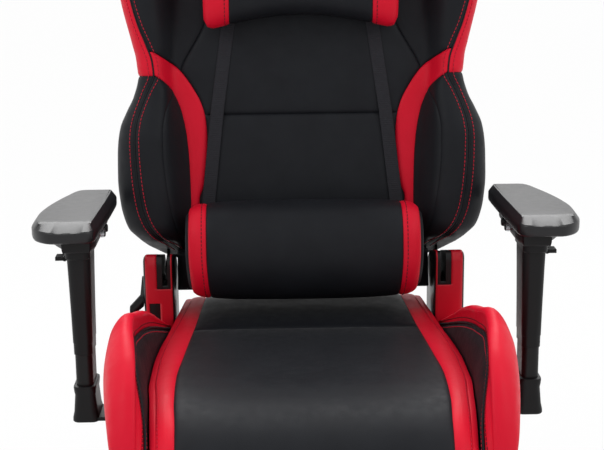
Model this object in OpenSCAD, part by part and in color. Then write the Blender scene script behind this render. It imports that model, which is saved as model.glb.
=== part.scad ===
// Racing-style gaming chair on a five-armed base with casters.
// Millimetres. Origin on the floor under the gas lift, +Z up, front of the chair towards -Y.

/* [Base] */
// Radius of the circle that the caster stems stand on
base_radius = 320; // [300:5:340]
// Height of the hub
hub_height = 56; // [50:1:66]
// Radius of the hub
hub_r = 38; // [36:1:44]
// Half width of an arm where it leaves the hub
arm_root_half = 22; // [18:1:26]
// Half width of an arm at its tip, round the caster socket
arm_tip_half = 16; // [13:1:20]
// Depth of an arm at its tip
arm_tip_h = 26; // [24:1:34]

/* [Casters] */
// Wheel radius
wheel_r = 30; // [27:1:33]
// Width of one wheel of the pair
wheel_w = 18; // [15:1:22]
// Width of the web between the two wheels
fork_web_w = 16; // [15:1:20]
// Distance from the swivel axis to the axle
caster_trail = 24; // [20:1:28]
// Radius of the steel stem
stem_r = 5.5; // [4.5:0.5:6]
// Length of the stem above its collar
stem_len = 20; // [16:1:22]
// Radius of the axle
axle_r = 4; // [3:0.5:5]

/* [Gas lift] */
// Radius of the outer cylinder
lift_tube_r = 25; // [23:0.5:27]
// Radius of the piston
piston_r = 14; // [12:0.5:16]
// How far the lift raises the seat
lift_travel = 80; // [60:5:100]
// Wall of a dust cover
cover_wall = 2; // [1.5:0.25:2.5]
// Overlap that the dust covers keep at full height
cover_lap = 12; // [8:1:20]

/* [Tilt mechanism] */
// Half width of the steel housing
housing_half_w = 60; // [52:1:70]
// Depth from the tilt plate down to the housing's floor
housing_depth = 71; // [66:1:76]
// Wall of the pressed steel housing
housing_wall = 3; // [2:0.5:4]
// Distance of the tilt axle in front of the lift axis
tilt_axis_front = 105; // [102:1:112]
// Radius of the tilt axle
tilt_axle_r = 7; // [5:0.5:8]
// Largest backward tilt of the seat, degrees
tilt_max = 12; // [8:1:13]
// Thickness of the tilt plate
plate_t = 4; // [3:0.5:5]
// Half width of the tilt plate
plate_half_w = 115; // [108:1:130]
// Half distance between the front and rear seat bolts
bolt_half_y = 95; // [88:1:98]
// Radius of the tension knob
knob_r = 24; // [20:1:26]
// Length of the height lever from its pivot
lever_len = 190; // [170:5:210]

/* [Seat] */
// Height of the cushion's top, with the lift right down
seat_height = 483; // [465:1:505]
// Thickness of the cushion above the webbing
cushion_t = 71; // [60:1:80]
// Half distance between the side tubes of the seat frame
frame_half_w = 201; // [199:1:203]
// Tube radius of the seat frame
frame_r = 11; // [10:0.5:11.5]
// Tube wall of both frames
tube_wall = 1.5; // [1:0.25:2.5]
// Front tube of the seat frame, in front of the lift axis
frame_front = 240; // [225:1:245]
// Rear tube of the seat frame, behind the lift axis
frame_rear = 200; // [190:1:215]
// How high the bolster ridge stands above the cushion
bolster_rise = 82; // [60:1:95]
// Width of one elastic strap under the cushion
strap_w = 50; // [30:1:60]
// Thickness of an elastic strap
strap_t = 2.5; // [1.5:0.25:3.5]

/* [Backrest] */
// Backward lean of the backrest at rest, degrees
lean = 8; // [5:0.5:10]
// Largest recline from there, degrees
recline_max = 55; // [30:1:55]
// Recline pivot behind the lift axis
pivot_y = 205; // [203:1:212]
// Recline pivot above the cushion's top
pivot_above_seat = 37; // [35:1:45]
// Thickness of the back cushion in front of its frame
back_t = 45; // [40:1:46]
// Tube radius of the back frame
back_tube_r = 11; // [9:0.5:11.5]
// How far the back frame's side tubes stand inside those of the seat frame
back_tube_in = 5; // [5:0.5:9]
// Thickness of the rear panel
shell_t = 13; // [8:1:18]
// Width of a harness hole
harness_w = 42; // [34:1:44]
// Height of a harness hole
harness_h = 48; // [36:1:52]
// Half distance between the centres of the harness holes
harness_x = 84; // [80:1:86]
// Width of a pillow strap
pillow_strap_w = 20; // [14:1:26]

/* [Pillows] */
// Half width of the lumbar pillow
lumbar_half_w = 174; // [150:1:176]
// Depth of the lumbar pillow
lumbar_depth = 124; // [100:1:130]
// Height of the lumbar pillow
lumbar_height = 140; // [120:1:146]
// Half width of the neck pillow
neck_half_w = 143; // [120:1:150]
// Depth of the neck pillow
neck_depth = 72; // [60:1:85]
// Height of the neck pillow
neck_height = 172; // [150:1:180]

/* [Recliner] */
// Thickness of the recliner plates
recliner_t = 4; // [3:0.5:4.5]
// Radius of the pivot pin
pivot_r = 8; // [6:0.5:10]
// Outer radius of the round end of each plate
plate_end_r = 20; // [17:1:22]
// Radius of the recliner's round gear case
gear_case_r = 26; // [24:1:30]
// Wall of the plastic hinge covers
hinge_wall = 2.5; // [2:0.25:3]
// Room inside a hinge cover, outside the gear case
hinge_room = 16; // [15:0.5:20]

/* [Armrests] */
// Distance of an armrest post from the middle of the chair
arm_x = 312; // [309:1:320]
// Distance of an armrest post behind the lift axis
arm_y = 10; // [5:1:15]
// Width of the inner post
post_w = 24; // [20:1:25]
// Depth of the inner post
post_d = 52; // [46:1:54]
// Wall of the inner post
post_wall = 2.5; // [1.5:0.5:4]
// Height of the foot that holds the post
foot_h = 56; // [50:1:58]
// Height of the tapered sleeve
sleeve_h = 142; // [136:1:150]
// Gap between the foot and the sleeve at rest
sleeve_gap = 45; // [42:1:50]
// Thickness of the foot's tongue under the seat
tongue_t = 10; // [8:1:12]
// Thickness of the tray under a pad
tray_t = 16.4; // [15:0.2:20]
// Thickness of an arm pad
pad_t = 25; // [22:1:30]
// Radius of the slide button
button_r = 6; // [4:0.5:6.5]

/* [Hidden] */
$fn = 64;

// Clearances
fit = 0.05;        // radial clearance of a running fit
slide_fit = 0.2;   // clearance of a sliding fit
soft_gap = 0.3;    // between soft pieces and what they lie on
eps = 0.1;         // how far a cut runs past the face it opens

// Casters and base, from the floor up
arms = 5;
hood_gap = 2;
hood_wall = 2.5;
wheel_side_gap = 1;
wheel_cap = 3;
collar_h = 2;
collar_r = stem_r + 3;
hood_r = wheel_r + hood_gap + hood_wall;
fork_top = wheel_r + hood_r + 1.5;
caster_half_w = fork_web_w / 2 + wheel_side_gap + wheel_w;
stem_foot = wheel_r + axle_r + 4;
arm_bottom = fork_top + collar_h + soft_gap;
arm_top = arm_bottom + arm_tip_h;
hub_bottom = arm_bottom - 6;
hub_top = hub_bottom + hub_height;
hub_taper = 1;

// Seat, from its top down to the mechanism
cushion_bottom = seat_height - cushion_t;
frame_top = cushion_bottom - soft_gap - strap_t;
frame_z = frame_top - frame_r;
frame_bottom = frame_z - frame_r;
plate_bottom = frame_bottom - plate_t;
housing_bottom = plate_bottom - housing_depth;
seat_underside = frame_bottom + 2;
frame_outer = frame_half_w + frame_r;
back_tube_half = frame_half_w - back_tube_in;
bar_t = 4;
bar_w = 30;

// Gas lift and its covers
lift_bottom = hub_bottom - 4;
lift_top = housing_bottom - 40;
piston_bottom = lift_bottom + 12;
socket_len = 32;
piston_taper = 0.8;
cover_fit = 0.5;
cover_rise = housing_bottom - soft_gap - hub_top;
cover_len = (cover_rise + lift_travel + 2 * cover_lap) / 3;
cover_mid_bottom = hub_top + cover_len - cover_lap - lift_travel / 2;
cover_r1 = lift_tube_r + 4 + cover_wall;
cover_r2 = cover_r1 + cover_fit + cover_wall;
cover_r3 = cover_r2 + cover_fit + cover_wall;

// Tilt mechanism
housing_front = -tilt_axis_front - 25;
housing_rear = 75;
tilt_y = -tilt_axis_front;
tilt_z = plate_bottom - 33;
flange_half = housing_half_w + 1;
flange_reach = 16;
rear_drop = (housing_rear - tilt_y) * sin(tilt_max) - (plate_bottom - tilt_z) * cos(tilt_max);
housing_rear_top = tilt_z - rear_drop - 3;
knob_h = 36;
knob_gap = 4;
knob_y = -(cover_r3 + knob_r + 4);
knob_bolt_r = 5;
spring_r = 13;
spring_wire = 2.2;
spring_seat_t = 2;
spring_turns = 5;
lever_y = -20;
lever_z = housing_bottom + 12;
lever_pivot_x = housing_half_w + 12;
clevis_r = 9;
lever_pin_r = 2.5;
lever_tab = 8;
plate_front = tilt_y - 25;
plate_rear = bolt_half_y + 25;
bolt_r = 4;
bolt_head_r = 7.5;
bolt_head_h = 5;

// Backrest, in its own frame: x across, y rearwards, z up along the lean, from the recline pivot
pivot_z = seat_height + pivot_above_seat;
wing_bottom = 58;
shoulder_top = 600;
head_top = 775;
back_bottom = 20;
frame_y = back_t + 1 + back_tube_r;
shell_front = frame_y + back_tube_r + soft_gap;
shell_back = shell_front + shell_t;
harness_bottom = 552;
harness_wall = 2;
harness_lip = 5;
back_plate_x = back_tube_half + back_tube_r - 1;
back_plate_top = 140;
tube_bend = [490, 590, 650];
tube_head_half = harness_x + harness_w / 2 + harness_wall + back_tube_r + 10;

// Half width of the seat's centre cushion, against the distance behind the lift axis
function cushion_half(y) = lookup(y, [[-300, 203], [-240, 206], [-190, 209], [-122, 214], [-60, 214],
    [7, 211], [83, 203], [145, 194], [244, 182]]);
// Depth of the crease between cushion and bolster under the cushion's top
function crease_drop(y) = lookup(y, [[-298, 84], [-285, 68], [-260, 43], [-240, 29], [-208, 17],
    [-150, 10], [244, 10]]);
// Fall of the cushion's top towards the front roll and the back edge
function cushion_drop(y) = lookup(y, [[-298, 80], [-292, 64], [-280, 46], [-260, 27], [-235, 14],
    [-208, 6], [-170, 0], [200, 0], [244, 5]]);
// Bolster ridge: distance from the middle, and height as a share of its rise
function ridge_x(y) = lookup(y, [[-292, 224], [-220, 226], [-120, 236], [-60, 238], [0, 234],
    [60, 226], [145, 210]]);
function ridge_share(y) = lookup(y, [[-292, -0.82], [-285, -0.52], [-270, -0.06], [-245, 0.39],
    [-210, 0.73], [-160, 0.94], [-110, 1], [-50, 0.89], [20, 0.63], [80, 0.33], [145, 0.06]]);
function bolster_outer(y) = lookup(y, [[-292, 240], [-270, 250], [-240, 256], [-200, 262],
    [-150, 267], [-60, 268], [0, 264], [60, 256], [145, 242]]);

// Backrest outlines against the height along the lean
function valley_x(w) = lookup(w, [[20, 180], [44, 184], [52, 176], [57, 167], [127, 168], [176, 169],
    [220, 172], [246, 176], [269, 182], [290, 189], [320, 192], [360, 188], [430, 184], [520, 178],
    [600, 160]]);
function ridge_back_x(w) = lookup(w, [[58, 188], [124, 198], [159, 202], [221, 206], [246, 206],
    [289, 204], [320, 210], [400, 214], [480, 218], [540, 206], [600, 168]]);
function outline_x(w) = lookup(w, [[58, 222], [68, 247], [81, 262], [93, 268], [117, 272],
    [195, 275], [237, 271], [261, 262], [284, 250], [312, 244], [362, 252], [392, 259], [430, 268],
    [480, 275], [520, 266], [560, 234], [590, 198], [600, 182]]);
function wing_front(w) = lookup(w, [[58, -8], [68, -30], [93, -48], [150, -55], [220, -56],
    [265, -46], [300, -36], [340, -34], [392, -40], [450, -46], [500, -40], [550, -22], [600, -5]]);
function head_half(w) = lookup(w, [[600, 181], [612, 172], [640, 158], [700, 150], [740, 148],
    [760, 134], [770, 116], [775, 96]]);
function head_back(w) = lookup(w, [[668, 0], [700, 4], [740, 11], [775, 22]]);
function head_front(w) = lookup(w, [[600, 0], [700, -6], [760, -8], [775, 4]]);

// ---------- helpers ----------

// A closed solid through rings of points; neighbouring rings are joined by triangles.
// A ring runs clockwise as seen from in front of the first one.
module loft(rings) {
    count = len(rings[0]);
    last = len(rings) - 1;
    sides = [for (r = [0:last - 1], i = [0:count - 1])
        let (a = r * count + i, b = r * count + (i + 1) % count)
        each [[a, a + count, b], [b, a + count, b + count]]];
    polyhedron(
        points = [for (ring = rings) each ring],
        faces = concat(
            [[for (i = [0:count - 1]) i]],
            sides,
            [[for (i = [count - 1:-1:0]) last * count + i]]));
}

// A mirrored copy for the chair's left half
module on_side(side) {
    mirror([side < 0 ? 1 : 0, 0, 0])
        children();
}

module both_sides() {
    for (side = [-1, 1])
        on_side(side)
            children();
}

// Into the backrest's own frame
module on_back() {
    translate([0, pivot_y, pivot_z])
        rotate([-lean, 0, 0])
            children();
}

// A flat shape drawn in x and z, as a slab between two y values
module slab_y(y0, y1) {
    translate([0, y1, 0])
        rotate([90, 0, 0])
            linear_extrude(y1 - y0)
                children();
}

// A flat shape drawn in y and z, as a slab between two x values
module slab_x(x0, x1) {
    translate([x0, 0, 0])
        rotate([90, 0, 90])
            linear_extrude(x1 - x0)
                children();
}

// A block between two corners
module block(low, high) {
    translate(low)
        cube(high - low);
}

module rounded_square(w, d, r) {
    square([w - 2 * r, d], center = true);
    square([w, d - 2 * r], center = true);
    for (x = [-1, 1], y = [-1, 1])
        translate([x * (w / 2 - r), y * (d / 2 - r)])
            circle(r, $fn = 32);
}

// An upright bar with round corners between two heights
module rounded_bar(w, d, r, z0, z1) {
    translate([0, 0, z0])
        linear_extrude(z1 - z0)
            rounded_square(w, d, r);
}

// A round rod between two points
module rod(from, to, r) {
    run = to - from;
    flat = norm([run[0], run[1]]);
    translate(from)
        rotate([0, atan2(flat, run[2]), atan2(run[1], run[0])])
            cylinder(h = norm(run), r = r);
}

// Rods along a path with a weld bead round each corner
module rod_path(points, r) {
    bead = 0.3;
    for (i = [0:len(points) - 2])
        rod(points[i], points[i + 1], r);
    for (i = [1:len(points) - 2])
        translate(points[i])
            sphere(r + bead);
}

// ---------- base and casters ----------

// To the swivel axis of caster i, with +X pointing away from the hub; caster 1 is at the front
module at_caster(i) {
    rotate([0, 0, -90 + (i - 1) * 360 / arms])
        translate([base_radius, 0, 0])
            children();
}

module base_arm() {
    root = hub_r - 10;
    intersection() {
        slab_y(-hub_r, hub_r)
            polygon([[root, hub_bottom + 6], [root + 90, hub_bottom + 16],
                [base_radius - 40, arm_bottom + 4], [base_radius - 20, arm_bottom],
                [base_radius, arm_bottom], [base_radius, arm_top - 4],
                [base_radius - 30, arm_top], [root + 90, hub_top - 14], [root, hub_top - 6]]);
        translate([0, 0, hub_bottom])
            linear_extrude(hub_height + arm_tip_h)
                polygon([[root, -arm_root_half], [base_radius, -arm_tip_half + 2],
                    [base_radius, arm_tip_half - 2], [root, arm_root_half]]);
    }
}

module star_base() {
    color([0.05, 0.05, 0.055])
        difference() {
            union() {
                translate([0, 0, hub_bottom])
                    rotate_extrude()
                        polygon([[0, 0], [hub_r - 3, 0], [hub_r, 4], [hub_r, hub_height - 6],
                            [hub_r - 4, hub_height], [0, hub_height]]);
                for (i = [1:arms])
                    rotate([0, 0, -90 + (i - 1) * 360 / arms])
                        base_arm();
                for (i = [1:arms])
                    at_caster(i)
                        translate([0, 0, arm_bottom])
                            cylinder(h = arm_tip_h - 2, r = arm_tip_half);
            }
            translate([0, 0, hub_bottom - eps])
                cylinder(h = hub_height + 2 * eps, r1 = lift_tube_r - hub_taper + fit, r2 = lift_tube_r + fit);
            for (i = [1:arms])
                at_caster(i)
                    translate([0, 0, arm_bottom - eps])
                        cylinder(h = stem_len + 1 + eps, r = stem_r + fit);
        }
}

module caster_fork() {
    axle = [caster_trail, 0, wheel_r];
    color([0.06, 0.06, 0.065])
        difference() {
            union() {
                slab_y(-fork_web_w / 2, fork_web_w / 2) {
                    translate([caster_trail, wheel_r])
                        circle(r = wheel_r - 8);
                    polygon([[-stem_r - 3, stem_foot - 4], [caster_trail, wheel_r - 8],
                        [caster_trail + 10, fork_top - 3], [stem_r + 3, fork_top],
                        [-stem_r - 3, fork_top]]);
                }
                translate([0, 0, fork_top - 3])
                    cylinder(h = 3, r = stem_r + 3.5);
                slab_y(-caster_half_w, caster_half_w)
                    difference() {
                        translate([caster_trail, wheel_r])
                            circle(r = hood_r);
                        translate([caster_trail, wheel_r])
                            circle(r = hood_r - hood_wall);
                        translate([caster_trail, wheel_r])
                            polygon([[0, 0], [2 * hood_r, hood_r], [2 * hood_r, -2 * hood_r],
                                [-2 * hood_r, -2 * hood_r], [-2 * hood_r, 0]]);
                    }
            }
            translate([0, 0, stem_foot])
                cylinder(h = fork_top, r = stem_r + fit);
            translate(axle)
                rotate([90, 0, 0])
                    cylinder(h = fork_web_w + 2, r = axle_r + fit, center = true);
        }
    color([0.75, 0.75, 0.77]) {
        translate([0, 0, stem_foot + eps])
            cylinder(h = arm_bottom + stem_len - stem_foot - eps, r = stem_r);
        translate([0, 0, fork_top + fit])
            cylinder(h = collar_h, r = collar_r);
        translate(axle)
            rotate([90, 0, 0])
                cylinder(h = 2 * (caster_half_w - wheel_cap) - 0.4, r = axle_r, center = true);
    }
}

module caster_wheels() {
    inner = fork_web_w / 2 + wheel_side_gap;
    color([0.09, 0.09, 0.095])
        for (side = [0, 1])
            translate([caster_trail, 0, wheel_r])
                mirror([0, side, 0])
                    rotate([-90, 0, 0])
                        translate([0, 0, inner])
                            rotate_extrude()
                                polygon([[0, wheel_w - wheel_cap], [axle_r + fit, wheel_w - wheel_cap],
                                    [axle_r + fit, 0], [wheel_r - 3, 0], [wheel_r, 3],
                                    [wheel_r, wheel_w - 4], [wheel_r - 4, wheel_w],
                                    [wheel_r - 8, wheel_w], [wheel_r - 10, wheel_w - 2],
                                    [axle_r + 4, wheel_w - 2], [axle_r + 2, wheel_w], [0, wheel_w]]);
}

module caster_fork_1() { at_caster(1) caster_fork(); }
module caster_fork_2() { at_caster(2) caster_fork(); }
module caster_fork_3() { at_caster(3) caster_fork(); }
module caster_fork_4() { at_caster(4) caster_fork(); }
module caster_fork_5() { at_caster(5) caster_fork(); }
module caster_wheels_1() { at_caster(1) caster_wheels(); }
module caster_wheels_2() { at_caster(2) caster_wheels(); }
module caster_wheels_3() { at_caster(3) caster_wheels(); }
module caster_wheels_4() { at_caster(4) caster_wheels(); }
module caster_wheels_5() { at_caster(5) caster_wheels(); }

// ---------- gas lift ----------

module lift_cylinder() {
    color([0.03, 0.03, 0.035])
        difference() {
            union() {
                translate([0, 0, lift_bottom])
                    cylinder(h = hub_bottom - lift_bottom, r = lift_tube_r - hub_taper);
                translate([0, 0, hub_bottom])
                    cylinder(h = hub_height, r1 = lift_tube_r - hub_taper, r2 = lift_tube_r);
                translate([0, 0, hub_top])
                    cylinder(h = lift_top - hub_top, r = lift_tube_r);
            }
            translate([0, 0, piston_bottom - 5])
                cylinder(h = lift_top - piston_bottom + 5 + eps, r = piston_r + fit);
        }
}

module lift_piston() {
    color([0.7, 0.7, 0.72]) {
        translate([0, 0, piston_bottom])
            cylinder(h = housing_bottom - piston_bottom, r = piston_r);
        translate([0, 0, housing_bottom])
            cylinder(h = socket_len, r1 = piston_r, r2 = piston_r - piston_taper);
    }
}

module cover_tube(outer, z0) {
    translate([0, 0, z0])
        difference() {
            cylinder(h = cover_len, r = outer);
            translate([0, 0, -eps])
                cylinder(h = cover_len + 2 * eps, r = outer - cover_wall);
        }
}

module dust_cover_lower() {
    color([0.04, 0.04, 0.045]) {
        cover_tube(cover_r1, hub_top);
        translate([0, 0, hub_top])
            difference() {
                cylinder(h = 3, r = cover_r1 - cover_wall / 2);
                translate([0, 0, -eps])
                    cylinder(h = 3 + 2 * eps, r = lift_tube_r + soft_gap);
            }
    }
}

module dust_cover_middle() {
    color([0.04, 0.04, 0.045])
        cover_tube(cover_r2, cover_mid_bottom);
}

module dust_cover_upper() {
    top = housing_bottom - soft_gap;
    color([0.04, 0.04, 0.045]) {
        cover_tube(cover_r3, top - cover_len);
        translate([0, 0, top - 3])
            difference() {
                cylinder(h = 3, r = cover_r3 - cover_wall / 2);
                translate([0, 0, -eps])
                    cylinder(h = 3 + 2 * eps, r = piston_r + soft_gap);
            }
    }
}

// ---------- tilt mechanism ----------

// Side outline of the housing, drawn in y and z, taken in by a wall
module housing_side(inset, top) {
    polygon([[housing_front + inset, housing_bottom + inset], [housing_rear - inset, housing_bottom + inset],
        [housing_rear - inset, housing_rear_top + top], [tilt_y + 20, tilt_z + 16 + top],
        [housing_front + inset, tilt_z + 16 + top]]);
}

module tilt_housing() {
    color([0.07, 0.07, 0.075])
        difference() {
            union() {
                difference() {
                    slab_x(-housing_half_w, housing_half_w)
                        housing_side(0, 0);
                    slab_x(-housing_half_w + housing_wall, housing_half_w - housing_wall)
                        housing_side(housing_wall, 1);
                }
                translate([0, 0, housing_bottom])
                    cylinder(h = socket_len, r = piston_r + 10);
            }
            translate([0, 0, housing_bottom - eps])
                cylinder(h = eps, r = piston_r + fit);
            translate([0, 0, housing_bottom])
                cylinder(h = socket_len + eps, r1 = piston_r + fit, r2 = piston_r - piston_taper + fit);
            translate([0, tilt_y, tilt_z])
                rotate([0, 90, 0])
                    cylinder(h = 2 * housing_half_w + 2, r = tilt_axle_r + fit, center = true);
            translate([0, knob_y, housing_bottom - eps])
                cylinder(h = housing_wall + 2 * eps, r = knob_bolt_r + fit);
            translate([-housing_half_w - 1, lever_y, lever_z])
                rotate([0, 90, 0])
                    cylinder(h = housing_wall + 2, r = clevis_r + fit);
        }
}

module tilt_axle() {
    flange_outer = flange_half + plate_t + soft_gap;
    color([0.72, 0.72, 0.74])
        translate([0, tilt_y, tilt_z])
            rotate([0, 90, 0]) {
                cylinder(h = 2 * flange_outer, r = tilt_axle_r, center = true);
                for (side = [0, 1])
                    mirror([0, 0, side])
                        translate([0, 0, flange_outer])
                            cylinder(h = 3, r = tilt_axle_r + 3);
            }
}

module tension_spring() {
    low = housing_bottom + housing_wall + fit + spring_seat_t + spring_wire + soft_gap;
    high = plate_bottom - spring_wire - soft_gap;
    steps = 14;
    sides = 6;
    color([0.6, 0.6, 0.62])
        translate([0, knob_y, 0])
            loft([for (s = [0:spring_turns * steps])
                let (turn = 360 * s / steps, z = low + (high - low) * s / (spring_turns * steps))
                [for (k = [0:sides - 1])
                    let (a = -360 * k / sides, r = spring_r + spring_wire * cos(a))
                    [r * cos(turn), r * sin(turn), z + spring_wire * sin(a)]]]);
}

module tension_knob() {
    top = housing_bottom - knob_gap;
    flutes = 8;
    color([0.05, 0.05, 0.055])
        translate([0, knob_y, 0]) {
            difference() {
                translate([0, 0, top - knob_h])
                    rotate_extrude()
                        polygon([[0, 0], [knob_r - 4, 0], [knob_r, 4], [knob_r, knob_h - 6],
                            [knob_r - 8, knob_h], [0, knob_h]]);
                for (i = [0:flutes - 1])
                    rotate([0, 0, i * 360 / flutes])
                        translate([knob_r + 4, 0, top - knob_h - eps])
                            cylinder(h = knob_h - 8, r = 6, $fn = 32);
            }
            translate([0, 0, top - eps])
                cylinder(h = 32, r = knob_bolt_r);
            translate([0, 0, housing_bottom + housing_wall + fit])
                cylinder(h = spring_seat_t, r = spring_r + spring_wire);
        }
}

module lever_clevis() {
    inner = -housing_half_w + housing_wall + 6;
    outer = -lever_pivot_x - 6;
    color([0.5, 0.5, 0.52])
        difference() {
            translate([outer, lever_y, lever_z])
                rotate([0, 90, 0])
                    cylinder(h = inner - outer, r = clevis_r);
            block([outer - 1, lever_y - lever_tab / 2 - slide_fit, lever_z - clevis_r - 1],
                [-lever_pivot_x + 8, lever_y + lever_tab / 2 + slide_fit, lever_z + clevis_r + 1]);
            translate([-lever_pivot_x, lever_y, lever_z])
                rotate([90, 0, 0])
                    cylinder(h = 2 * clevis_r + 2, r = lever_pin_r + fit, center = true);
        }
    color([0.75, 0.75, 0.77])
        translate([-lever_pivot_x, lever_y, lever_z])
            rotate([90, 0, 0])
                cylinder(h = 2 * clevis_r - 3, r = lever_pin_r, center = true);
}

module height_lever() {
    grip_len = 52;
    grip_w = 28;
    grip_t = 12;
    rod_end = lever_len - grip_len;
    translate([-lever_pivot_x, lever_y, lever_z]) {
        color([0.7, 0.7, 0.72])
            difference() {
                union() {
                    rotate([90, 0, 0])
                        cylinder(h = lever_tab, r = 5, center = true);
                    block([-12, -lever_tab / 2, -4], [0, lever_tab / 2, 4]);
                    rotate([0, -90, 0])
                        translate([0, 0, 10])
                            cylinder(h = rod_end, r = 4);
                }
                rotate([90, 0, 0])
                    cylinder(h = lever_tab + 2, r = lever_pin_r + fit, center = true);
            }
        color([0.05, 0.05, 0.055])
            translate([-lever_len + grip_len / 2, 0, 0])
                difference() {
                    rounded_bar(grip_len, grip_w, 8, -grip_t / 2, grip_t / 2);
                    rotate([0, 90, 0])
                        cylinder(h = grip_len + 2, r = 4 + fit, center = true);
                }
    }
}

// ---------- seat structure ----------

module tilt_plate() {
    color([0.07, 0.07, 0.075])
        difference() {
            union() {
                block([-plate_half_w, plate_front, plate_bottom], [plate_half_w, plate_rear, frame_bottom]);
                both_sides()
                    slab_x(flange_half, flange_half + plate_t) {
                        translate([tilt_y, tilt_z])
                            circle(r = flange_reach);
                        polygon([[tilt_y - flange_reach, tilt_z], [tilt_y + flange_reach, tilt_z],
                            [tilt_y + flange_reach + 14, frame_bottom - 1], [tilt_y - flange_reach, frame_bottom - 1]]);
                    }
            }
            translate([0, tilt_y, tilt_z])
                rotate([0, 90, 0])
                    cylinder(h = 2 * plate_half_w, r = tilt_axle_r + fit, center = true);
            for (x = [-1, 1], y = [-1, 1])
                translate([x * (plate_half_w - 20), y * bolt_half_y, plate_bottom - eps])
                    cylinder(h = plate_t + 2 * eps, r = bolt_r + fit);
        }
}

tongue_half = post_d / 2 + 2;
tongue_end = plate_half_w + 35;
arm_bolt_dy = 16;
recliner_front = 148;
recliner_rear = 238;
recliner_foot_in = 22;
recliner_bolts = [recliner_front + 14, recliner_rear - 14];

// One screw from below: hex head under a plate, shank up into the frame
module frame_bolt(under) {
    translate([0, 0, under - bolt_head_h])
        cylinder(h = bolt_head_h, r = bolt_head_r, $fn = 6);
    translate([0, 0, under - eps])
        cylinder(h = frame_bottom - under + bar_t + 2, r = bolt_r);
}

module mount_bolts() {
    color([0.62, 0.62, 0.64]) {
        for (x = [-1, 1], y = [-1, 1])
            translate([x * (plate_half_w - 20), y * bolt_half_y, 0])
                frame_bolt(plate_bottom);
        both_sides()
            for (dy = [-arm_bolt_dy, arm_bolt_dy])
                translate([frame_half_w, arm_y + dy, 0])
                    frame_bolt(frame_bottom - tongue_t);
        both_sides()
            for (y = recliner_bolts)
                translate([frame_half_w, y, 0])
                    frame_bolt(frame_bottom - recliner_t);
    }
}

recliner_stub = recliner_rear + 2;

// Two side tubes and two thinner cross tubes, at full size or as their bore
module seat_tubes(shrink) {
    for (x = [-frame_half_w, frame_half_w])
        rod([x, -frame_front - frame_r, frame_z], [x, recliner_stub, frame_z], frame_r - shrink);
    for (y = [-frame_front, frame_rear])
        rod([-frame_half_w, y, frame_z], [frame_half_w, y, frame_z], frame_r - 1 - shrink);
}

module seat_frame() {
    color([0.08, 0.08, 0.085])
        difference() {
            union() {
                seat_tubes(0);
                for (y = [-bolt_half_y, bolt_half_y])
                    block([-frame_half_w, y - bar_w / 2, frame_bottom], [frame_half_w, y + bar_w / 2, frame_bottom + bar_t]);
            }
            seat_tubes(tube_wall);
            for (x = [-1, 1], y = [-1, 1])
                translate([x * (plate_half_w - 20), y * bolt_half_y, frame_bottom - eps])
                    cylinder(h = bar_t + 2 * eps, r = bolt_r + fit);
            both_sides()
                for (y = concat([arm_y - arm_bolt_dy, arm_y + arm_bolt_dy], recliner_bolts))
                    translate([frame_half_w, y, frame_bottom - eps])
                        cylinder(h = frame_r, r = bolt_r + fit);
        }
}

module seat_webbing() {
    straps = 5;
    span = frame_front + frame_rear - strap_w - 2 * frame_r;
    color([0.1, 0.1, 0.1])
        for (i = [0:straps - 1])
            translate([0, -frame_front + frame_r + strap_w / 2 + span * i / (straps - 1), frame_top + strap_t / 2])
                cube([2 * frame_half_w, strap_w, strap_t], center = true);
}

module underside_cover() {
    cloth_t = 1.6;
    cut = 1;
    color([0.05, 0.05, 0.05])
        difference() {
            block([-frame_half_w - 6, -frame_front - 6, frame_bottom - cloth_t],
                [frame_half_w + 6, frame_rear + 6, frame_bottom]);
            block([-plate_half_w - cut, plate_front - cut, plate_bottom], [plate_half_w + cut, plate_rear + cut, seat_height]);
            both_sides()
                block([tongue_end - cut, arm_y - tongue_half - cut, plate_bottom],
                    [arm_x, arm_y + tongue_half + cut, seat_height]);
            both_sides()
                block([frame_outer - recliner_foot_in - cut, recliner_front - cut, plate_bottom],
                    [arm_x, recliner_rear + cut, seat_height]);
        }
}

// ---------- seat cushions ----------

// Stations along the seat, shared by the cushion and the bolsters so that their crease matches
seat_ys = [-298, -292, -284, -272, -255, -235, -208, -165, -115, -50, 20, 80, 145, 200, 244];
bolster_front = -292;
bolster_rear = 145;

module seat_cushion() {
    color([0.06, 0.06, 0.065])
        difference() {
            loft([for (y = seat_ys)
                let (half = cushion_half(y) - soft_gap / 2, top = seat_height - cushion_drop(y),
                    edge = seat_height - crease_drop(y), low = seat_underside)
                [[-half, y, low], [-half, y, edge], [-half + 12, y, (edge + 2 * top) / 3],
                    [-half + 32, y, top], [half - 32, y, top], [half - 12, y, (edge + 2 * top) / 3],
                    [half, y, edge], [half, y, low]]]);
            block([-frame_outer - 1, -frame_front - frame_r - soft_gap, 0],
                [frame_outer + 1, recliner_stub + frame_r, cushion_bottom]);
        }
}

module seat_bolster() {
    low = seat_underside;
    color([0.78, 0.03, 0.06])
        loft([for (y = seat_ys) if (y >= bolster_front && y <= bolster_rear)
            let (in_x = cushion_half(y) + soft_gap / 2, side_x = max(frame_outer + soft_gap, in_x + 1),
                edge = seat_height - crease_drop(y), top = seat_height + bolster_rise * ridge_share(y),
                step = min(cushion_bottom + soft_gap, edge - 3), rx = ridge_x(y), out = bolster_outer(y),
                high = max(top, edge + 4))
            [[out - 10, y, low + 0.08 * (high - low)], [out - 17, y, low], [side_x, y, low], [side_x, y, step],
                [in_x, y, step], [in_x, y, edge], [in_x + 0.6 * (rx - in_x), y, edge + 0.6 * (high - edge)],
                [rx - 5, y, high - 3], [rx + 2, y, high], [rx + 11, y, low + 0.96 * (high - low)],
                [out - 5, y, low + 0.82 * (high - low)], [out, y, low + 0.6 * (high - low)],
                [out - 3, y, low + 0.3 * (high - low)]]]);
}

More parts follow.
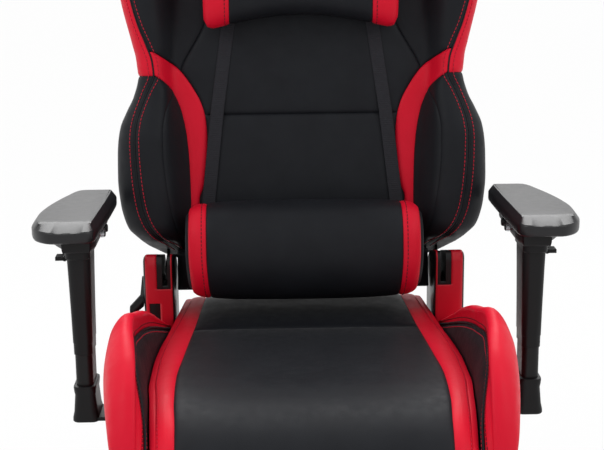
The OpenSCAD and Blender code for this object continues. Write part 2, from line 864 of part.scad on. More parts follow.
module seat_bolster_left() { on_side(-1) seat_bolster(); }
module seat_bolster_right() { on_side(1) seat_bolster(); }

// ---------- recliner ----------

bracket_x = frame_outer + fit;
gear_case_t = 8;

module recliner_brackets() {
    foot_low = frame_bottom - recliner_t;
    color([0.1, 0.1, 0.105])
        both_sides() {
            slab_x(bracket_x, bracket_x + recliner_t) {
                translate([pivot_y, pivot_z])
                    circle(r = gear_case_r);
                polygon([[recliner_front, plate_bottom], [recliner_rear, plate_bottom],
                    [pivot_y + gear_case_r, pivot_z], [pivot_y - gear_case_r, pivot_z]]);
            }
            difference() {
                block([frame_outer - recliner_foot_in, recliner_front, foot_low], [bracket_x + eps, recliner_rear, frame_bottom]);
                for (y = recliner_bolts)
                    translate([frame_half_w, y, foot_low - eps])
                        cylinder(h = recliner_t + 2 * eps, r = bolt_r + fit);
            }
            translate([back_plate_x - 5, pivot_y, pivot_z])
                rotate([0, 90, 0])
                    cylinder(h = bracket_x - back_plate_x + 6, r = pivot_r);
            translate([back_plate_x + recliner_t + fit, pivot_y, pivot_z])
                rotate([0, 90, 0])
                    cylinder(h = bracket_x - back_plate_x - recliner_t, r = pivot_r + 4);
            translate([bracket_x + recliner_t - eps, pivot_y, pivot_z])
                rotate([0, 90, 0])
                    cylinder(h = gear_case_t, r = gear_case_r);
        }
}

hinge_x = back_plate_x - 11.5;
hinge_w = bracket_x + recliner_t + gear_case_t + hinge_room - hinge_x;
hinge_front = 150;
hinge_top = pivot_z + 55;
hinge_back_r = 44;
hinge_bottom = frame_top + 4;
lever_shaft_r = 6;
hinge_boss_r = 5;
hinge_boss_z = hinge_bottom + 28;
hinge_boss_ys = [pivot_y - 18, pivot_y + 12];

// Side outline of a hinge cover, drawn in y and z, taken in by a wall
module hinge_side(inset, low) {
    corner = 10;
    union() {
        translate([pivot_y, pivot_z])
            circle(r = hinge_back_r - inset);
        polygon([[hinge_front + inset, low], [pivot_y + hinge_back_r - inset, low],
            [pivot_y + hinge_back_r - inset, pivot_z], [pivot_y, pivot_z + hinge_back_r - inset],
            [hinge_front + corner, hinge_top - inset], [hinge_front + inset, hinge_top - corner]]);
    }
}

module hinge_cover(side) {
    slot = back_plate_x - 2;
    color([0.78, 0.03, 0.06])
        on_side(side)
            difference() {
                slab_x(hinge_x, hinge_x + hinge_w)
                    hinge_side(0, hinge_bottom);
                slab_x(hinge_x + hinge_wall, hinge_x + hinge_w - hinge_wall)
                    hinge_side(hinge_wall, hinge_bottom - 1);
                block([slot, hinge_front - 1, pivot_z + 10], [slot + recliner_t + 4, pivot_y, hinge_top + 1]);
                block([slot, pivot_y - 1, pivot_z - 42], [slot + recliner_t + 4, pivot_y + 2 * hinge_back_r, hinge_top + 1]);
                translate([hinge_x - 1, pivot_y, pivot_z])
                    rotate([0, 90, 0])
                        cylinder(h = back_plate_x - hinge_x, r = pivot_r + 2);
                if (side < 0)
                    translate([hinge_x + hinge_w - hinge_wall - 1, pivot_y, pivot_z])
                        rotate([0, 90, 0])
                            cylinder(h = hinge_wall + 2, r = lever_shaft_r + 1);
            }
    color([0.03, 0.03, 0.035])
        on_side(side)
            for (y = hinge_boss_ys)
                translate([bracket_x + recliner_t + fit, y, hinge_boss_z])
                    rotate([0, 90, 0])
                        cylinder(h = hinge_x + hinge_w - hinge_wall + eps - bracket_x - recliner_t - fit, r = hinge_boss_r);
}

module hinge_cover_left() { hinge_cover(-1); }
module hinge_cover_right() { hinge_cover(1); }

module recline_lever() {
    case_face = bracket_x + recliner_t + gear_case_t - eps;
    arm_in = hinge_x + hinge_w + 1.5;
    arm_t = 5;
    color([0.05, 0.05, 0.055])
        on_side(-1) {
            translate([case_face + soft_gap, pivot_y, pivot_z])
                rotate([0, 90, 0])
                    cylinder(h = arm_in + arm_t - case_face - soft_gap, r = lever_shaft_r);
            hull() {
                translate([arm_in, pivot_y, pivot_z])
                    rotate([0, 90, 0])
                        cylinder(h = arm_t, r = 11, $fn = 32);
                translate([arm_in, pivot_y - 40, pivot_z - 16])
                    rotate([0, 90, 0])
                        cylinder(h = arm_t, r = 9, $fn = 32);
            }
            hull() {
                translate([arm_in, pivot_y - 40, pivot_z - 16])
                    rotate([0, 90, 0])
                        cylinder(h = arm_t, r = 9, $fn = 32);
                translate([arm_in + 15, pivot_y - 52, pivot_z - 28])
                    rotate([0, 90, 0])
                        cylinder(h = arm_t, r = 7, $fn = 32);
            }
        }
}

// ---------- backrest ----------

cross_rods = [92, 330];
back_path = [[-back_tube_half, frame_y, 48], [-back_tube_half, frame_y, tube_bend[0]],
    [-tube_head_half, frame_y, tube_bend[1]], [-tube_head_half, frame_y, tube_bend[2]],
    [tube_head_half, frame_y, tube_bend[2]], [tube_head_half, frame_y, tube_bend[1]],
    [back_tube_half, frame_y, tube_bend[0]], [back_tube_half, frame_y, 48]];

// The outer tube and its thinner cross tubes, at full size or as their bore
module back_tubes(shrink) {
    rod_path(back_path, back_tube_r - shrink);
    for (w = cross_rods)
        rod([-back_tube_half, frame_y, w], [back_tube_half, frame_y, w], back_tube_r - 2 - shrink);
}

module back_frame() {
    color([0.08, 0.08, 0.085])
        on_back()
            difference() {
                union() {
                    back_tubes(0);
                    both_sides()
                        slab_x(back_plate_x, back_plate_x + recliner_t) {
                            circle(r = plate_end_r);
                            polygon([[-plate_end_r, 0], [-plate_end_r + 4, 26], [30, 42],
                                [back_t - 3, wing_bottom - 2], [back_t - 3, back_plate_top], [frame_y + 5, back_plate_top],
                                [frame_y + 5, 44], [plate_end_r, 0]]);
                        }
                }
                back_tubes(tube_wall);
                rotate([0, 90, 0])
                    cylinder(h = 2 * arm_x, r = pivot_r + fit, center = true);
            }
}

// Half width of the room that a wing leaves for the back frame and its hinge plates
pocket_room = back_tube_r + 1;
plate_room = back_plate_x + recliner_t + 1;
function pocket_x(w) = lookup(w, [[back_plate_top + 3, plate_room], [back_plate_top + 4, back_tube_half + pocket_room],
    [tube_bend[0] + 30, back_tube_half + pocket_room], [tube_bend[1] + 30, tube_head_half + pocket_room]]);
function pocket_y(w) = w < back_plate_top + 3.5 ? back_t - 4 : back_t;

// The space that the back frame takes inside the back cushion, drawn in x and z
module frame_pocket() {
    room = pocket_room;
    slab_y(back_t, shell_back + 1)
        polygon([[-back_tube_half - room, 0], [back_tube_half + room, 0],
            [back_tube_half + room, tube_bend[0] + room / 2], [tube_head_half + room, tube_bend[1] + room / 2],
            [tube_head_half + room, tube_bend[2] + room], [-tube_head_half - room, tube_bend[2] + room],
            [-tube_head_half - room, tube_bend[1] + room / 2], [-back_tube_half - room, tube_bend[0] + room / 2]]);
}

// A harness hole through everything, wider than the opening by a margin all round
module harness_cut(margin, y0, y1) {
    both_sides()
        slab_y(y0, y1)
            translate([harness_x, harness_bottom + harness_h / 2])
                rounded_square(harness_w + 2 * margin, harness_h + 2 * margin, 8);
}

// Stations along the backrest, shared by the cushion and the wings so that their crease matches
wing_ws = [wing_bottom, 68, 81, 93, 117, back_plate_top + 3, back_plate_top + 4, 176, 205, 237, 261, 284, 312,
    340, 375, 420, 480, 520, 560, 590, shoulder_top - 0.5 - soft_gap];
head_ws = [600, 612, 640, 668, 700, 740, 760, 770, 775];

module back_cushion() {
    rear = shell_front - soft_gap;
    color([0.06, 0.06, 0.065])
        on_back()
            difference() {
                loft(concat(
                    [for (w = concat([back_bottom, 44, 52], wing_ws)) let (half = valley_x(w) - soft_gap / 2, low = w < 30 ? 12 : 0)
                        [[-half, 3 + low, w], [-half + 20, low, w], [half - 20, low, w],
                            [half, 3 + low, w], [half, rear, w], [-half, rear, w]]],
                    [for (w = head_ws) let (half = head_half(w), back = rear - head_back(w), front = head_front(w))
                        [[-half, 12, w], [-half + 20, front, w], [half - 20, front, w],
                            [half, 12, w], [half - 6, back, w], [-half + 6, back, w]]]));
                frame_pocket();
                harness_cut(harness_wall + soft_gap, -20, 100);
            }
}

module back_wing(side) {
    rear = shell_front - soft_gap;
    color([0.06, 0.06, 0.065])
        on_back()
            on_side(side)
                loft([for (w = wing_ws)
                    let (valley = valley_x(w) + soft_gap / 2, out = outline_x(w), front = wing_front(w),
                        ridge = ridge_back_x(w), tuck = w < 62 ? 14 : 0, pocket = max(pocket_x(w), valley + 1))
                    [[valley, min(-2, 0.05 * front), w], [(valley + ridge) / 2, 0.5 * front, w], [ridge, 0.9 * front, w],
                        [ridge + 0.2 * (out - ridge), front, w], [out - 0.45 * (out - ridge), 0.97 * front, w],
                        [out - 0.2 * (out - ridge), 0.75 * front + tuck / 2, w], [out, 0.3 * front + tuck, w],
                        [out, rear - 22, w], [max(out - 9, pocket + 1), rear - tuck, w], [pocket, rear - tuck, w],
                        [pocket, pocket_y(w), w], [valley, pocket_y(w), w]]]);
}

module back_wing_left() { back_wing(-1); }
module back_wing_right() { back_wing(1); }

shell_low_ws = [30, 40, 56, 68, 93, 117, 195, 237, 261, 284, 312, 362, 430, 480, 520, 560, 590];

module back_shell() {
    color([0.05, 0.05, 0.055])
        on_back()
            difference() {
                loft(concat(
                    [for (w = shell_low_ws)
                        let (half = w < 58 ? 176 + 0.6 * (w - 30) : outline_x(w) - 6, belly = 0.4 * shell_t)
                        [[-half, shell_front, w], [half, shell_front, w], [half, shell_front + belly, w],
                            [half - 16, shell_back, w], [-half + 16, shell_back, w], [-half, shell_front + belly, w]]],
                    [for (w = head_ws)
                        let (half = head_half(w) - 8, back = head_back(w), belly = 0.4 * shell_t)
                        [[-half, shell_front - back, w], [half, shell_front - back, w],
                            [half, shell_front - back + belly, w], [half - 16, shell_back - back, w],
                            [-half + 16, shell_back - back, w], [-half, shell_front - back + belly, w]]]));
                harness_cut(harness_wall + soft_gap, -20, 100);
            }
}

module harness_trims() {
    lip_t = 2.5;
    color([0.03, 0.03, 0.035])
        on_back()
            difference() {
                union() {
                    harness_cut(harness_wall, -lip_t, shell_back + lip_t);
                    harness_cut(harness_lip, -lip_t - soft_gap, -soft_gap);
                    harness_cut(harness_lip, shell_back + soft_gap, shell_back + soft_gap + lip_t);
                }
                harness_cut(0, -20, 120);
            }
}

pillow_strap_t = 1.5;
strap_y = -soft_gap - pillow_strap_t / 2;
strap_route = [[150, strap_y, 58], [127, strap_y, 260], [113, strap_y, 357], [harness_x + 3, strap_y, 536],
    [harness_x + 1, strap_y - 3.4, 544], [harness_x, strap_y - 3.4, harness_bottom + 0.3],
    [harness_x, strap_y - 0.5, harness_bottom + 2], [harness_x, back_t, harness_bottom + 2]];

module pillow_straps() {
    last = len(strap_route) - 1;
    color([0.04, 0.04, 0.04])
        on_back()
            both_sides()
                loft([for (i = [0:last])
                    let (p = strap_route[i], run = strap_route[min(i + 1, last)] - strap_route[max(i - 1, 0)],
                        size = norm([run[1], run[2]]), n = [0, run[2], -run[1]] * pillow_strap_t / 2 / size, half = pillow_strap_w / 2)
                    [p + n + [half, 0, 0], p + n - [half, 0, 0], p - n - [half, 0, 0], p - n + [half, 0, 0]]]);
}

// A stuffed roll across the backrest: rings across its width, fuller in the middle
module pillow(half_w, depth, height, centre_w, bow) {
    sides = 20;
    rear_gap = pillow_strap_t + 2 * soft_gap;
    rear_flat = 2.5;
    shares = [[-1, 0.74], [-0.97, 0.84], [-0.88, 0.95], [-0.5, 1], [0, 1], [0.5, 1], [0.88, 0.95], [0.97, 0.84], [1, 0.74]];
    on_back()
        translate([0, -rear_gap - depth / 2, centre_w])
            loft([for (s = shares)
                [for (k = [0:sides - 1])
                    let (a = 360 * k / sides, c = cos(a), t = sin(a),
                        px = sign(c) * pow(abs(c), 0.8), pz = sign(t) * pow(abs(t), 0.8),
                        back = min(rear_flat, (1 - s[1]) * depth / 2), lift = t < 0 ? bow * (1 - s[0] * s[0]) : 0)
                    [s[0] * half_w, px * s[1] * depth / 2 + back, pz * s[1] * height / 2 + lift]]]);
}

lumbar_w = 62;
neck_w = 455;

module lumbar_pillow() {
    color([0.06, 0.06, 0.065])
        pillow(lumbar_half_w, lumbar_depth, lumbar_height, lumbar_w, 0);
}

module neck_pillow() {
    color([0.06, 0.06, 0.065])
        pillow(neck_half_w, neck_depth, neck_height, neck_w, 30);
}

// ---------- armrests ----------

foot_bottom = frame_bottom - tongue_t;
foot_top = foot_bottom + foot_h;
sleeve_bottom = foot_top + sleeve_gap;
sleeve_top = sleeve_bottom + sleeve_h;
sleeve_roof = 12;
arm_drop = 40;
turn_bottom = sleeve_top + soft_gap;
turn_t = 8;
turn_top = turn_bottom + turn_t;
rail_w = 20;
rail_h = 6;
swivel_r = 6;
tray_bottom = turn_top + soft_gap;
tray_top = tray_bottom + tray_t;
pad_top = tray_top + pad_t;
tray_w = 66;
tray_in = 25;
tray_front = -50;
tray_rear = 140;
button_y = arm_y + 35;
button_z = (tray_bottom + tray_top) / 2 + 0.6;

module at_arm(side) {
    on_side(side)
        translate([arm_x, arm_y, 0])
            children();
}

module arm_bracket(side) {
    color([0.05, 0.05, 0.055])
        difference() {
            union() {
                on_side(side)
                    block([tongue_end, arm_y - tongue_half, foot_bottom], [arm_x, arm_y + tongue_half, frame_bottom]);
                at_arm(side)
                    hull() {
                        rounded_bar(post_w + 13, post_d + 14, 9, foot_bottom, foot_bottom + 4);
                        rounded_bar(post_w + 7, post_d + 8, 8, foot_top - 1, foot_top);
                    }
            }
            at_arm(side)
                rounded_bar(post_w + 2 * fit, post_d + 2 * fit, 8, foot_bottom + 14, foot_top + 1);
            on_side(side)
                for (dy = [-arm_bolt_dy, arm_bolt_dy])
                    translate([frame_half_w, arm_y + dy, foot_bottom - 1])
                        cylinder(h = tongue_t + 2, r = bolt_r + fit);
        }
}

module arm_post(side) {
    low = foot_bottom + 14 + fit;
    high = sleeve_top - sleeve_roof - arm_drop - 2;
    color([0.09, 0.09, 0.095])
        at_arm(side)
            difference() {
                rounded_bar(post_w, post_d, 8, low, high);
                rounded_bar(post_w - 2 * post_wall, post_d - 2 * post_wall, 8 - post_wall, low - 1, high + 1);
            }
}

trigger_z = sleeve_top - 8;
trigger_x = post_w / 2 + 9;
trigger_w = 20;
ear_t = 2;

module arm_sleeve(side) {
    ear = trigger_w / 2 + slide_fit;
    color([0.05, 0.05, 0.055])
        at_arm(side)
            difference() {
                union() {
                    hull() {
                        rounded_bar(post_w + 3.6, post_d + 6, 9, sleeve_bottom, sleeve_bottom + 2);
                        rounded_bar(post_w + 13, post_d + 13, 10, sleeve_top - 14, sleeve_top);
                    }
                    for (s = [0, 1])
                        mirror([0, s, 0])
                            block([trigger_x - 8, ear, trigger_z - 5], [trigger_x + 4, ear + ear_t, trigger_z + 5]);
                    translate([trigger_x, 0, trigger_z])
                        rotate([90, 0, 0])
                            cylinder(h = 2 * ear + 2, r = 1.5, center = true);
                }
                difference() {
                    block([trigger_x - 5, -ear, trigger_z - 14], [trigger_x + 20, ear, trigger_z + 5]);
                    translate([trigger_x, 0, trigger_z])
                        rotate([90, 0, 0])
                            cylinder(h = 2 * ear + 2, r = 1.5, center = true);
                }
                rounded_bar(post_w + 2 * slide_fit, post_d + 2 * slide_fit, 8, sleeve_bottom - 1, sleeve_top - sleeve_roof);
                translate([0, 0, sleeve_top - sleeve_roof - 1])
                    cylinder(h = sleeve_roof + 2, r = swivel_r + fit);
            }
}

module arm_trigger(side) {
    color([0.04, 0.04, 0.045])
        at_arm(side)
            translate([trigger_x, 0, trigger_z])
                difference() {
                    union() {
                        rotate([90, 0, 0])
                            cylinder(h = trigger_w, r = 3.5, center = true);
                        block([0, -trigger_w / 2, -2.5], [13, trigger_w / 2, 2.5]);
                    }
                    rotate([90, 0, 0])
                        cylinder(h = trigger_w + 2, r = 1.5 + fit, center = true);
                }
}

module arm_turntable(side) {
    color([0.06, 0.06, 0.065])
        at_arm(side) {
            rounded_bar(44, 84, 12, turn_bottom, turn_top);
            block([-rail_w / 2, -40, turn_top - eps], [rail_w / 2, 40, turn_top + rail_h]);
            translate([0, 0, turn_bottom - sleeve_roof + 2])
                cylinder(h = sleeve_roof, r = swivel_r);
        }
}

module arm_tray(side) {
    mid_x = tray_w / 2 - tray_in;
    mid_y = (tray_front + tray_rear) / 2;
    color([0.05, 0.05, 0.055])
        at_arm(side)
            difference() {
                translate([mid_x, mid_y, 0])
                    rounded_bar(tray_w, tray_rear - tray_front, 14, tray_bottom, tray_top);
                block([-rail_w / 2 - slide_fit, tray_front - 1, tray_bottom - 1],
                    [rail_w / 2 + slide_fit, tray_rear + 1, tray_bottom + rail_h]);
                translate([-tray_in - 1, button_y - arm_y, button_z])
                    rotate([0, 90, 0])
                        cylinder(h = 10, r = button_r + fit);
            }
}

// Outline of the right pad round its post: straight inside, bowed outside
pad_outline = [[-29, -20], [-26, -56], [-16, -66], [8, -69], [33, -64], [50, -50], [60, -30], [64, -10],
    [64, 20], [60, 60], [50, 110], [38, 150], [30, 175], [22, 185], [10, 188], [-24, 188], [-32, 185],
    [-34, 176]];

module arm_pad(side) {
    lower = 0.6 * pad_t;
    brow = 0.25 * pad_t;
    inset = [for (p = pad_outline) [8 + (p[0] - 8) * 0.9, 60 + (p[1] - 60) * 0.95]];
    color([0.12, 0.12, 0.125])
        at_arm(side) {
            translate([0, 0, tray_top])
                linear_extrude(lower)
                    polygon(pad_outline);
            translate([0, 0, tray_top + lower])
                linear_extrude(pad_t - lower)
                    intersection() {
                        polygon(inset);
                        translate([-60, -48 + brow])
                            square([140, 300]);
                    }
        }
}

module arm_button(side) {
    color([0.5, 0.5, 0.52])
        at_arm(side)
            translate([-tray_in - 5, button_y - arm_y, button_z])
                rotate([0, 90, 0])
                    cylinder(h = 9, r = button_r);
}

module arm_bracket_left() { arm_bracket(-1); }
module arm_post_left() { arm_post(-1); }
module arm_sleeve_left() { arm_sleeve(-1); }
module arm_trigger_left() { arm_trigger(-1); }
module arm_turntable_left() { arm_turntable(-1); }
module arm_tray_left() { arm_tray(-1); }
module arm_pad_left() { arm_pad(-1); }
module arm_button_left() { arm_button(-1); }
module arm_bracket_right() { arm_bracket(1); }
module arm_post_right() { arm_post(1); }
module arm_sleeve_right() { arm_sleeve(1); }
module arm_trigger_right() { arm_trigger(1); }
module arm_turntable_right() { arm_turntable(1); }
module arm_tray_right() { arm_tray(1); }
module arm_pad_right() { arm_pad(1); }
module arm_button_right() { arm_button(1); }

star_base();
lift_cylinder();
dust_cover_lower();
dust_cover_middle();
dust_cover_upper();
lift_piston();
caster_fork_1();
caster_fork_2();
caster_fork_3();
caster_fork_4();
caster_fork_5();
caster_wheels_1();
caster_wheels_2();
caster_wheels_3();
caster_wheels_4();
caster_wheels_5();
tilt_housing();
tilt_axle();
tension_spring();
tension_knob();
lever_clevis();
height_lever();
tilt_plate();
mount_bolts();
seat_frame();
seat_webbing();
underside_cover();
seat_cushion();
seat_bolster_left();
seat_bolster_right();
recliner_brackets();
hinge_cover_left();
hinge_cover_right();
recline_lever();
back_frame();
back_cushion();
back_wing_left();
back_wing_right();
back_shell();
harness_trims();
pillow_straps();
lumbar_pillow();
neck_pillow();
arm_bracket_left();
arm_post_left();
arm_sleeve_left();
arm_trigger_left();
arm_turntable_left();
arm_tray_left();
arm_pad_left();
arm_button_left();
arm_bracket_right();
arm_post_right();
arm_sleeve_right();
arm_trigger_right();
arm_turntable_right();
arm_tray_right();
arm_pad_right();
arm_button_right();
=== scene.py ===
# %% [markdown]
# # A gaming chair, dressed on its working frame
# The frame that this scene loads holds every working part of the chair at its real size: base, casters,
# gas lift, tilt mechanism, seat and back frames, armrests. This file gives the chair its looks. Upholstery
# is sewn from panels, so it is made here panel by panel, as an upholsterer cuts it, and each panel
# sinks into the seams round it. All sizes below are millimetres until a mesh is made.

import math

import bmesh
import bpy
import numpy as np
from mathutils import Matrix, Vector


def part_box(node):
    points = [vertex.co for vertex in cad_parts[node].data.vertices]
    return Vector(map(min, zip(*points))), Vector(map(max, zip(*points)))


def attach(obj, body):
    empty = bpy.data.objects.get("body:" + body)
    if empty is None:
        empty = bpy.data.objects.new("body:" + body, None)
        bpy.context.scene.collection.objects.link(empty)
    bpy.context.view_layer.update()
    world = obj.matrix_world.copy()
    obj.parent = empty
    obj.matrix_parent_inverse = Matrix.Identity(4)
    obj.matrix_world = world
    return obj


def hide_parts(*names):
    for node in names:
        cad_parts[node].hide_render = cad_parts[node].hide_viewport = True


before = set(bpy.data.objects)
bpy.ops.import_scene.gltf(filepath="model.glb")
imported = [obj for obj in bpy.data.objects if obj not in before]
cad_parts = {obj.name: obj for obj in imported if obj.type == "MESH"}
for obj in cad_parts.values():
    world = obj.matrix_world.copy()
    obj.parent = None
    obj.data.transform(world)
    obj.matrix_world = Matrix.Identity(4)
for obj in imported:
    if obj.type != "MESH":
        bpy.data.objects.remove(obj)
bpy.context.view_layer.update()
MM = 0.001
SIDES = ((-1, "left"), (1, "right"))


def corners(node):
    """Lowest and highest corner of a part of the frame, in millimetres."""
    low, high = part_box(node)
    return [c / MM for c in low], [c / MM for c in high]


def linked(name, data):
    """A new object in the scene."""
    obj = bpy.data.objects.new(name, data)
    bpy.context.collection.objects.link(obj)
    return obj


# %% [markdown]
# ## Camera
# A tall chair seen from the front, from just above its backrest's middle. The lens is long enough that
# the arms keep nearly parallel sides. The small shift keeps the uprights upright without tilting more.

# %% Camera
CAMERA_AT = (-51.5, -1903.3, 1095.6)
TURN, TILT, TIP = 0.02354, 0.24799, -0.00999
SENSOR, LENS, SHIFT = 36, 84.9, 0.0485
look = Vector((math.sin(TURN) * math.cos(TILT), math.cos(TURN) * math.cos(TILT), -math.sin(TILT)))
level = Vector((math.cos(TURN), -math.sin(TURN), 0))
upright = level.cross(look)
rightward = level * math.cos(TIP) + upright * math.sin(TIP)
upward = upright * math.cos(TIP) - level * math.sin(TIP)
camera = linked("camera", bpy.data.cameras.new("camera"))
camera.data.sensor_width = SENSOR
camera.data.lens = LENS
camera.data.shift_y = SHIFT
camera.data.clip_end = 100
camera.matrix_world = Matrix([(*row, place * MM) for row, place in zip(zip(rightward, upward, -look), CAMERA_AT)]
                             + [(0, 0, 0, 1)])
bpy.context.scene.camera = camera
bpy.context.scene.view_settings.view_transform = "Standard"
print("camera at", CAMERA_AT)

# %% [markdown]
# ## Nodes, colours and where a pattern gets its scale
# Every material is built from nodes. One helper adds a node, sets it and links it. Colours are written as
# sRGB hex, as a paint chart gives them, and turned to linear once. A pattern's scale is one over its
# real spacing in metres, because the texture space is the chair's own space in metres.

# %% Node and colour helpers


def linear(code):
    """An sRGB hex colour as linear red, green, blue and alpha."""
    channels = [int(code[i:i + 2], 16) / 255 for i in (1, 3, 5)]
    return [c / 12.92 if c <= 0.04045 else ((c + 0.055) / 1.055) ** 2.4 for c in channels] + [1]


def add(tree, kind, inputs=None, **settings):
    """Adds a node, sets it, and fills its inputs with values or with links from other sockets."""
    node = tree.nodes.new(kind)
    for name, value in settings.items():
        setattr(node, name, value)
    for key, value in (inputs or {}).items():
        if isinstance(value, bpy.types.NodeSocket):
            tree.links.new(value, node.inputs[key])
        else:
            node.inputs[key].default_value = value
    return node


def new_material(name, **values):
    """A material with its Principled shader, and that shader's plain values set on its own sockets."""
    material = bpy.data.materials.new(name)
    material.use_nodes = True
    shader = material.node_tree.nodes["Principled BSDF"]
    for key, value in values.items():
        shader.inputs[key.replace("_", " ")].default_value = value
    return material, material.node_tree, shader


def per_mm(spacing):
    """The texture scale at which one cell is that many millimetres."""
    return 1 / (spacing * MM)


def mottled(name, tones, spacing, **values):
    """A material whose colour drifts between two tones, with the place and the slow noise that drive it."""
    material, tree, shader = new_material(name, **values)
    place = add(tree, "ShaderNodeTexCoord").outputs["Object"]
    drift = add(tree, "ShaderNodeTexNoise", {"Vector": place, "Scale": per_mm(spacing), "Detail": 3}).outputs["Fac"]
    mix = add(tree, "ShaderNodeMix", {0: drift, 6: linear(tones[0]), 7: linear(tones[1])}, data_type="RGBA")
    tree.links.new(mix.outputs[2], shader.inputs["Base Color"])
    return material, tree, shader, place, drift


def spread(tree, shader, socket, value, low, high):
    """Drives one input between two values, where the pattern that drives it runs from 0.3 to 0.7."""
    ramp = add(tree, "ShaderNodeMapRange", {0: value, 1: 0.3, 2: 0.7, 3: low, 4: high})
    tree.links.new(ramp.outputs[0], shader.inputs[socket])


def raised(tree, shader, height, size, strength=1.0):
    """Turns a height from 0 to 1 into bump, where 1 stands that many millimetres proud."""
    bump = add(tree, "ShaderNodeBump", {"Height": height, "Distance": size * MM, "Strength": strength})
    tree.links.new(bump.outputs[0], shader.inputs["Normal"])


# %% [markdown]
# ## PU leather
# The cover is polyurethane coated on a knitted backing and embossed with a fine pebble grain about a
# millimetre across. The coating is matt with a soft, wide highlight, so its roughness is near a half. It
# is a dielectric of IOR about 1.5, and the highlights are kept low because the skin is full of pores. Two
# noises do the rest: a slow one for the tone of the hide, and a fine one that breaks up the sheen.

# %% PU leather


def pu_leather(name, tones, rough, specular, grain=1.3):
    """Coated leather: pebble grain, slow tone and a broken sheen."""
    material, tree, shader, place, _ = mottled(name, tones, 45, IOR=1.5, Specular_IOR_Level=specular)
    sheen = add(tree, "ShaderNodeTexNoise", {"Vector": place, "Scale": per_mm(12), "Detail": 4})
    spread(tree, shader, "Roughness", sheen.outputs["Fac"], rough - 0.05, rough + 0.06)
    cells = add(tree, "ShaderNodeTexVoronoi", {"Vector": place, "Scale": per_mm(grain)})
    pores = add(tree, "ShaderNodeTexNoise", {"Vector": place, "Scale": per_mm(0.5 * grain), "Detail": 2})
    height = add(tree, "ShaderNodeMath", {0: cells.outputs["Distance"], 1: pores.outputs["Fac"]},
                 operation="ADD")
    raised(tree, shader, height.outputs[0], 0.10, 0.55)
    return material


black_pu = pu_leather("pu_leather_black", ("#17181c", "#212327"), 0.5, 0.13)
red_pu = pu_leather("pu_leather_red", ("#dc0a28", "#e91334"), 0.5, 0.2)
print("leathers:", black_pu.name, red_pu.name)

# %% [markdown]
# ## Sewing thread
# The seams are topstitched with bonded polyester thread, a twisted cord that is slightly glossy. Its twist
# is too fine to show, so a wave at a coarser pitch stands in for it.

# %% Thread


def thread(name, code):
    """Twisted sewing thread."""
    material, tree, shader = new_material(name, Base_Color=linear(code), Roughness=0.55, IOR=1.5,
                                          Specular_IOR_Level=0.3)
    place = add(tree, "ShaderNodeTexCoord").outputs["Object"]
    twist = add(tree, "ShaderNodeTexWave", {"Vector": place, "Scale": per_mm(4)}, bands_direction="DIAGONAL")
    raised(tree, shader, twist.outputs["Fac"], 0.2, 0.5)
    return material


red_thread = thread("polyester_thread_red", "#c01632")
dark_thread = thread("polyester_thread_dark_red", "#6d0a1a")

# %% [markdown]
# ## Moulded plastics
# Covers, armrests and the base are injection moulded. Glass-filled nylon comes out matt with a fine spark
# texture, polypropylene and ABS trims are smoother. All are dielectrics with IOR near 1.5, and the texture
# of the tool is a fraction of a millimetre, drawn here as coarse as it needs to show.

# %% Moulded plastics


def moulded(name, tones, rough, specular=0.4, texture=0.7, depth=0.05):
    """Moulded plastic with the tool's spark texture."""
    material, tree, shader, place, _ = mottled(name, tones, 30, IOR=1.5, Specular_IOR_Level=specular)
    wear = add(tree, "ShaderNodeTexNoise", {"Vector": place, "Scale": per_mm(9), "Detail": 5})
    spread(tree, shader, "Roughness", wear.outputs["Fac"], rough - 0.02, rough + 0.03)
    spark = add(tree, "ShaderNodeTexNoise", {"Vector": place, "Scale": per_mm(texture), "Detail": 2})
    raised(tree, shader, spark.outputs["Fac"], depth, 0.5)
    return material


nylon = moulded("glass_filled_nylon_black", ("#0d0d0e", "#131315"), 0.42, 0.2)
polypropylene = moulded("polypropylene_black", ("#0f0f10", "#161617"), 0.36, 0.25)
red_abs = moulded("abs_red", ("#d00c26", "#de112d"), 0.38, 0.4)
pad_skin = moulded("pu_foam_skin_black", ("#161618", "#1b1b1e"), 0.33, 0.35, 1.2, 0.006)
tread = moulded("pu_tread_black", ("#1d1d1f", "#262628"), 0.6, 0.3)

# %% [markdown]
# ## Metals and webbing
# Tubes and brackets are powder coated: a rough black skin with the orange peel of the cured powder. Bolts
# are zinc plated, and the lift's piston is ground steel, which keeps rings round its axis. The pillow
# straps and the seat's suspension are woven polyester, whose ribs run across the tape.

# %% Metals and webbing


def powder_coat(name, tones):
    """Powder coated steel: orange peel over a dark skin."""
    material, tree, shader, _, peel = mottled(name, tones, 5, IOR=1.5, Specular_IOR_Level=0.25)
    spread(tree, shader, "Roughness", peel, 0.36, 0.5)
    raised(tree, shader, peel, 0.15, 0.4)
    return material


def bare_steel(name, code, rough, pitch):
    """Plated or ground steel: a metal whose grinding lines follow the height."""
    material, tree, shader = new_material(name, Base_Color=linear(code), Metallic=1.0)
    place = add(tree, "ShaderNodeTexCoord").outputs["Object"]
    lines = add(tree, "ShaderNodeTexWave", {"Vector": place, "Scale": per_mm(pitch), "Distortion": 1.5},
                bands_direction="Z")
    spread(tree, shader, "Roughness", lines.outputs["Fac"], rough, rough + 0.12)
    return material


def woven(name, tones, rib):
    """Woven tape with ribs across it."""
    material, tree, shader, place, _ = mottled(name, tones, 6, Roughness=0.8, IOR=1.5, Specular_IOR_Level=0.2)
    ribs = add(tree, "ShaderNodeTexWave", {"Vector": place, "Scale": per_mm(rib * 6.28)}, bands_direction="Z")
    raised(tree, shader, ribs.outputs["Fac"], 0.3, 0.7)
    return material


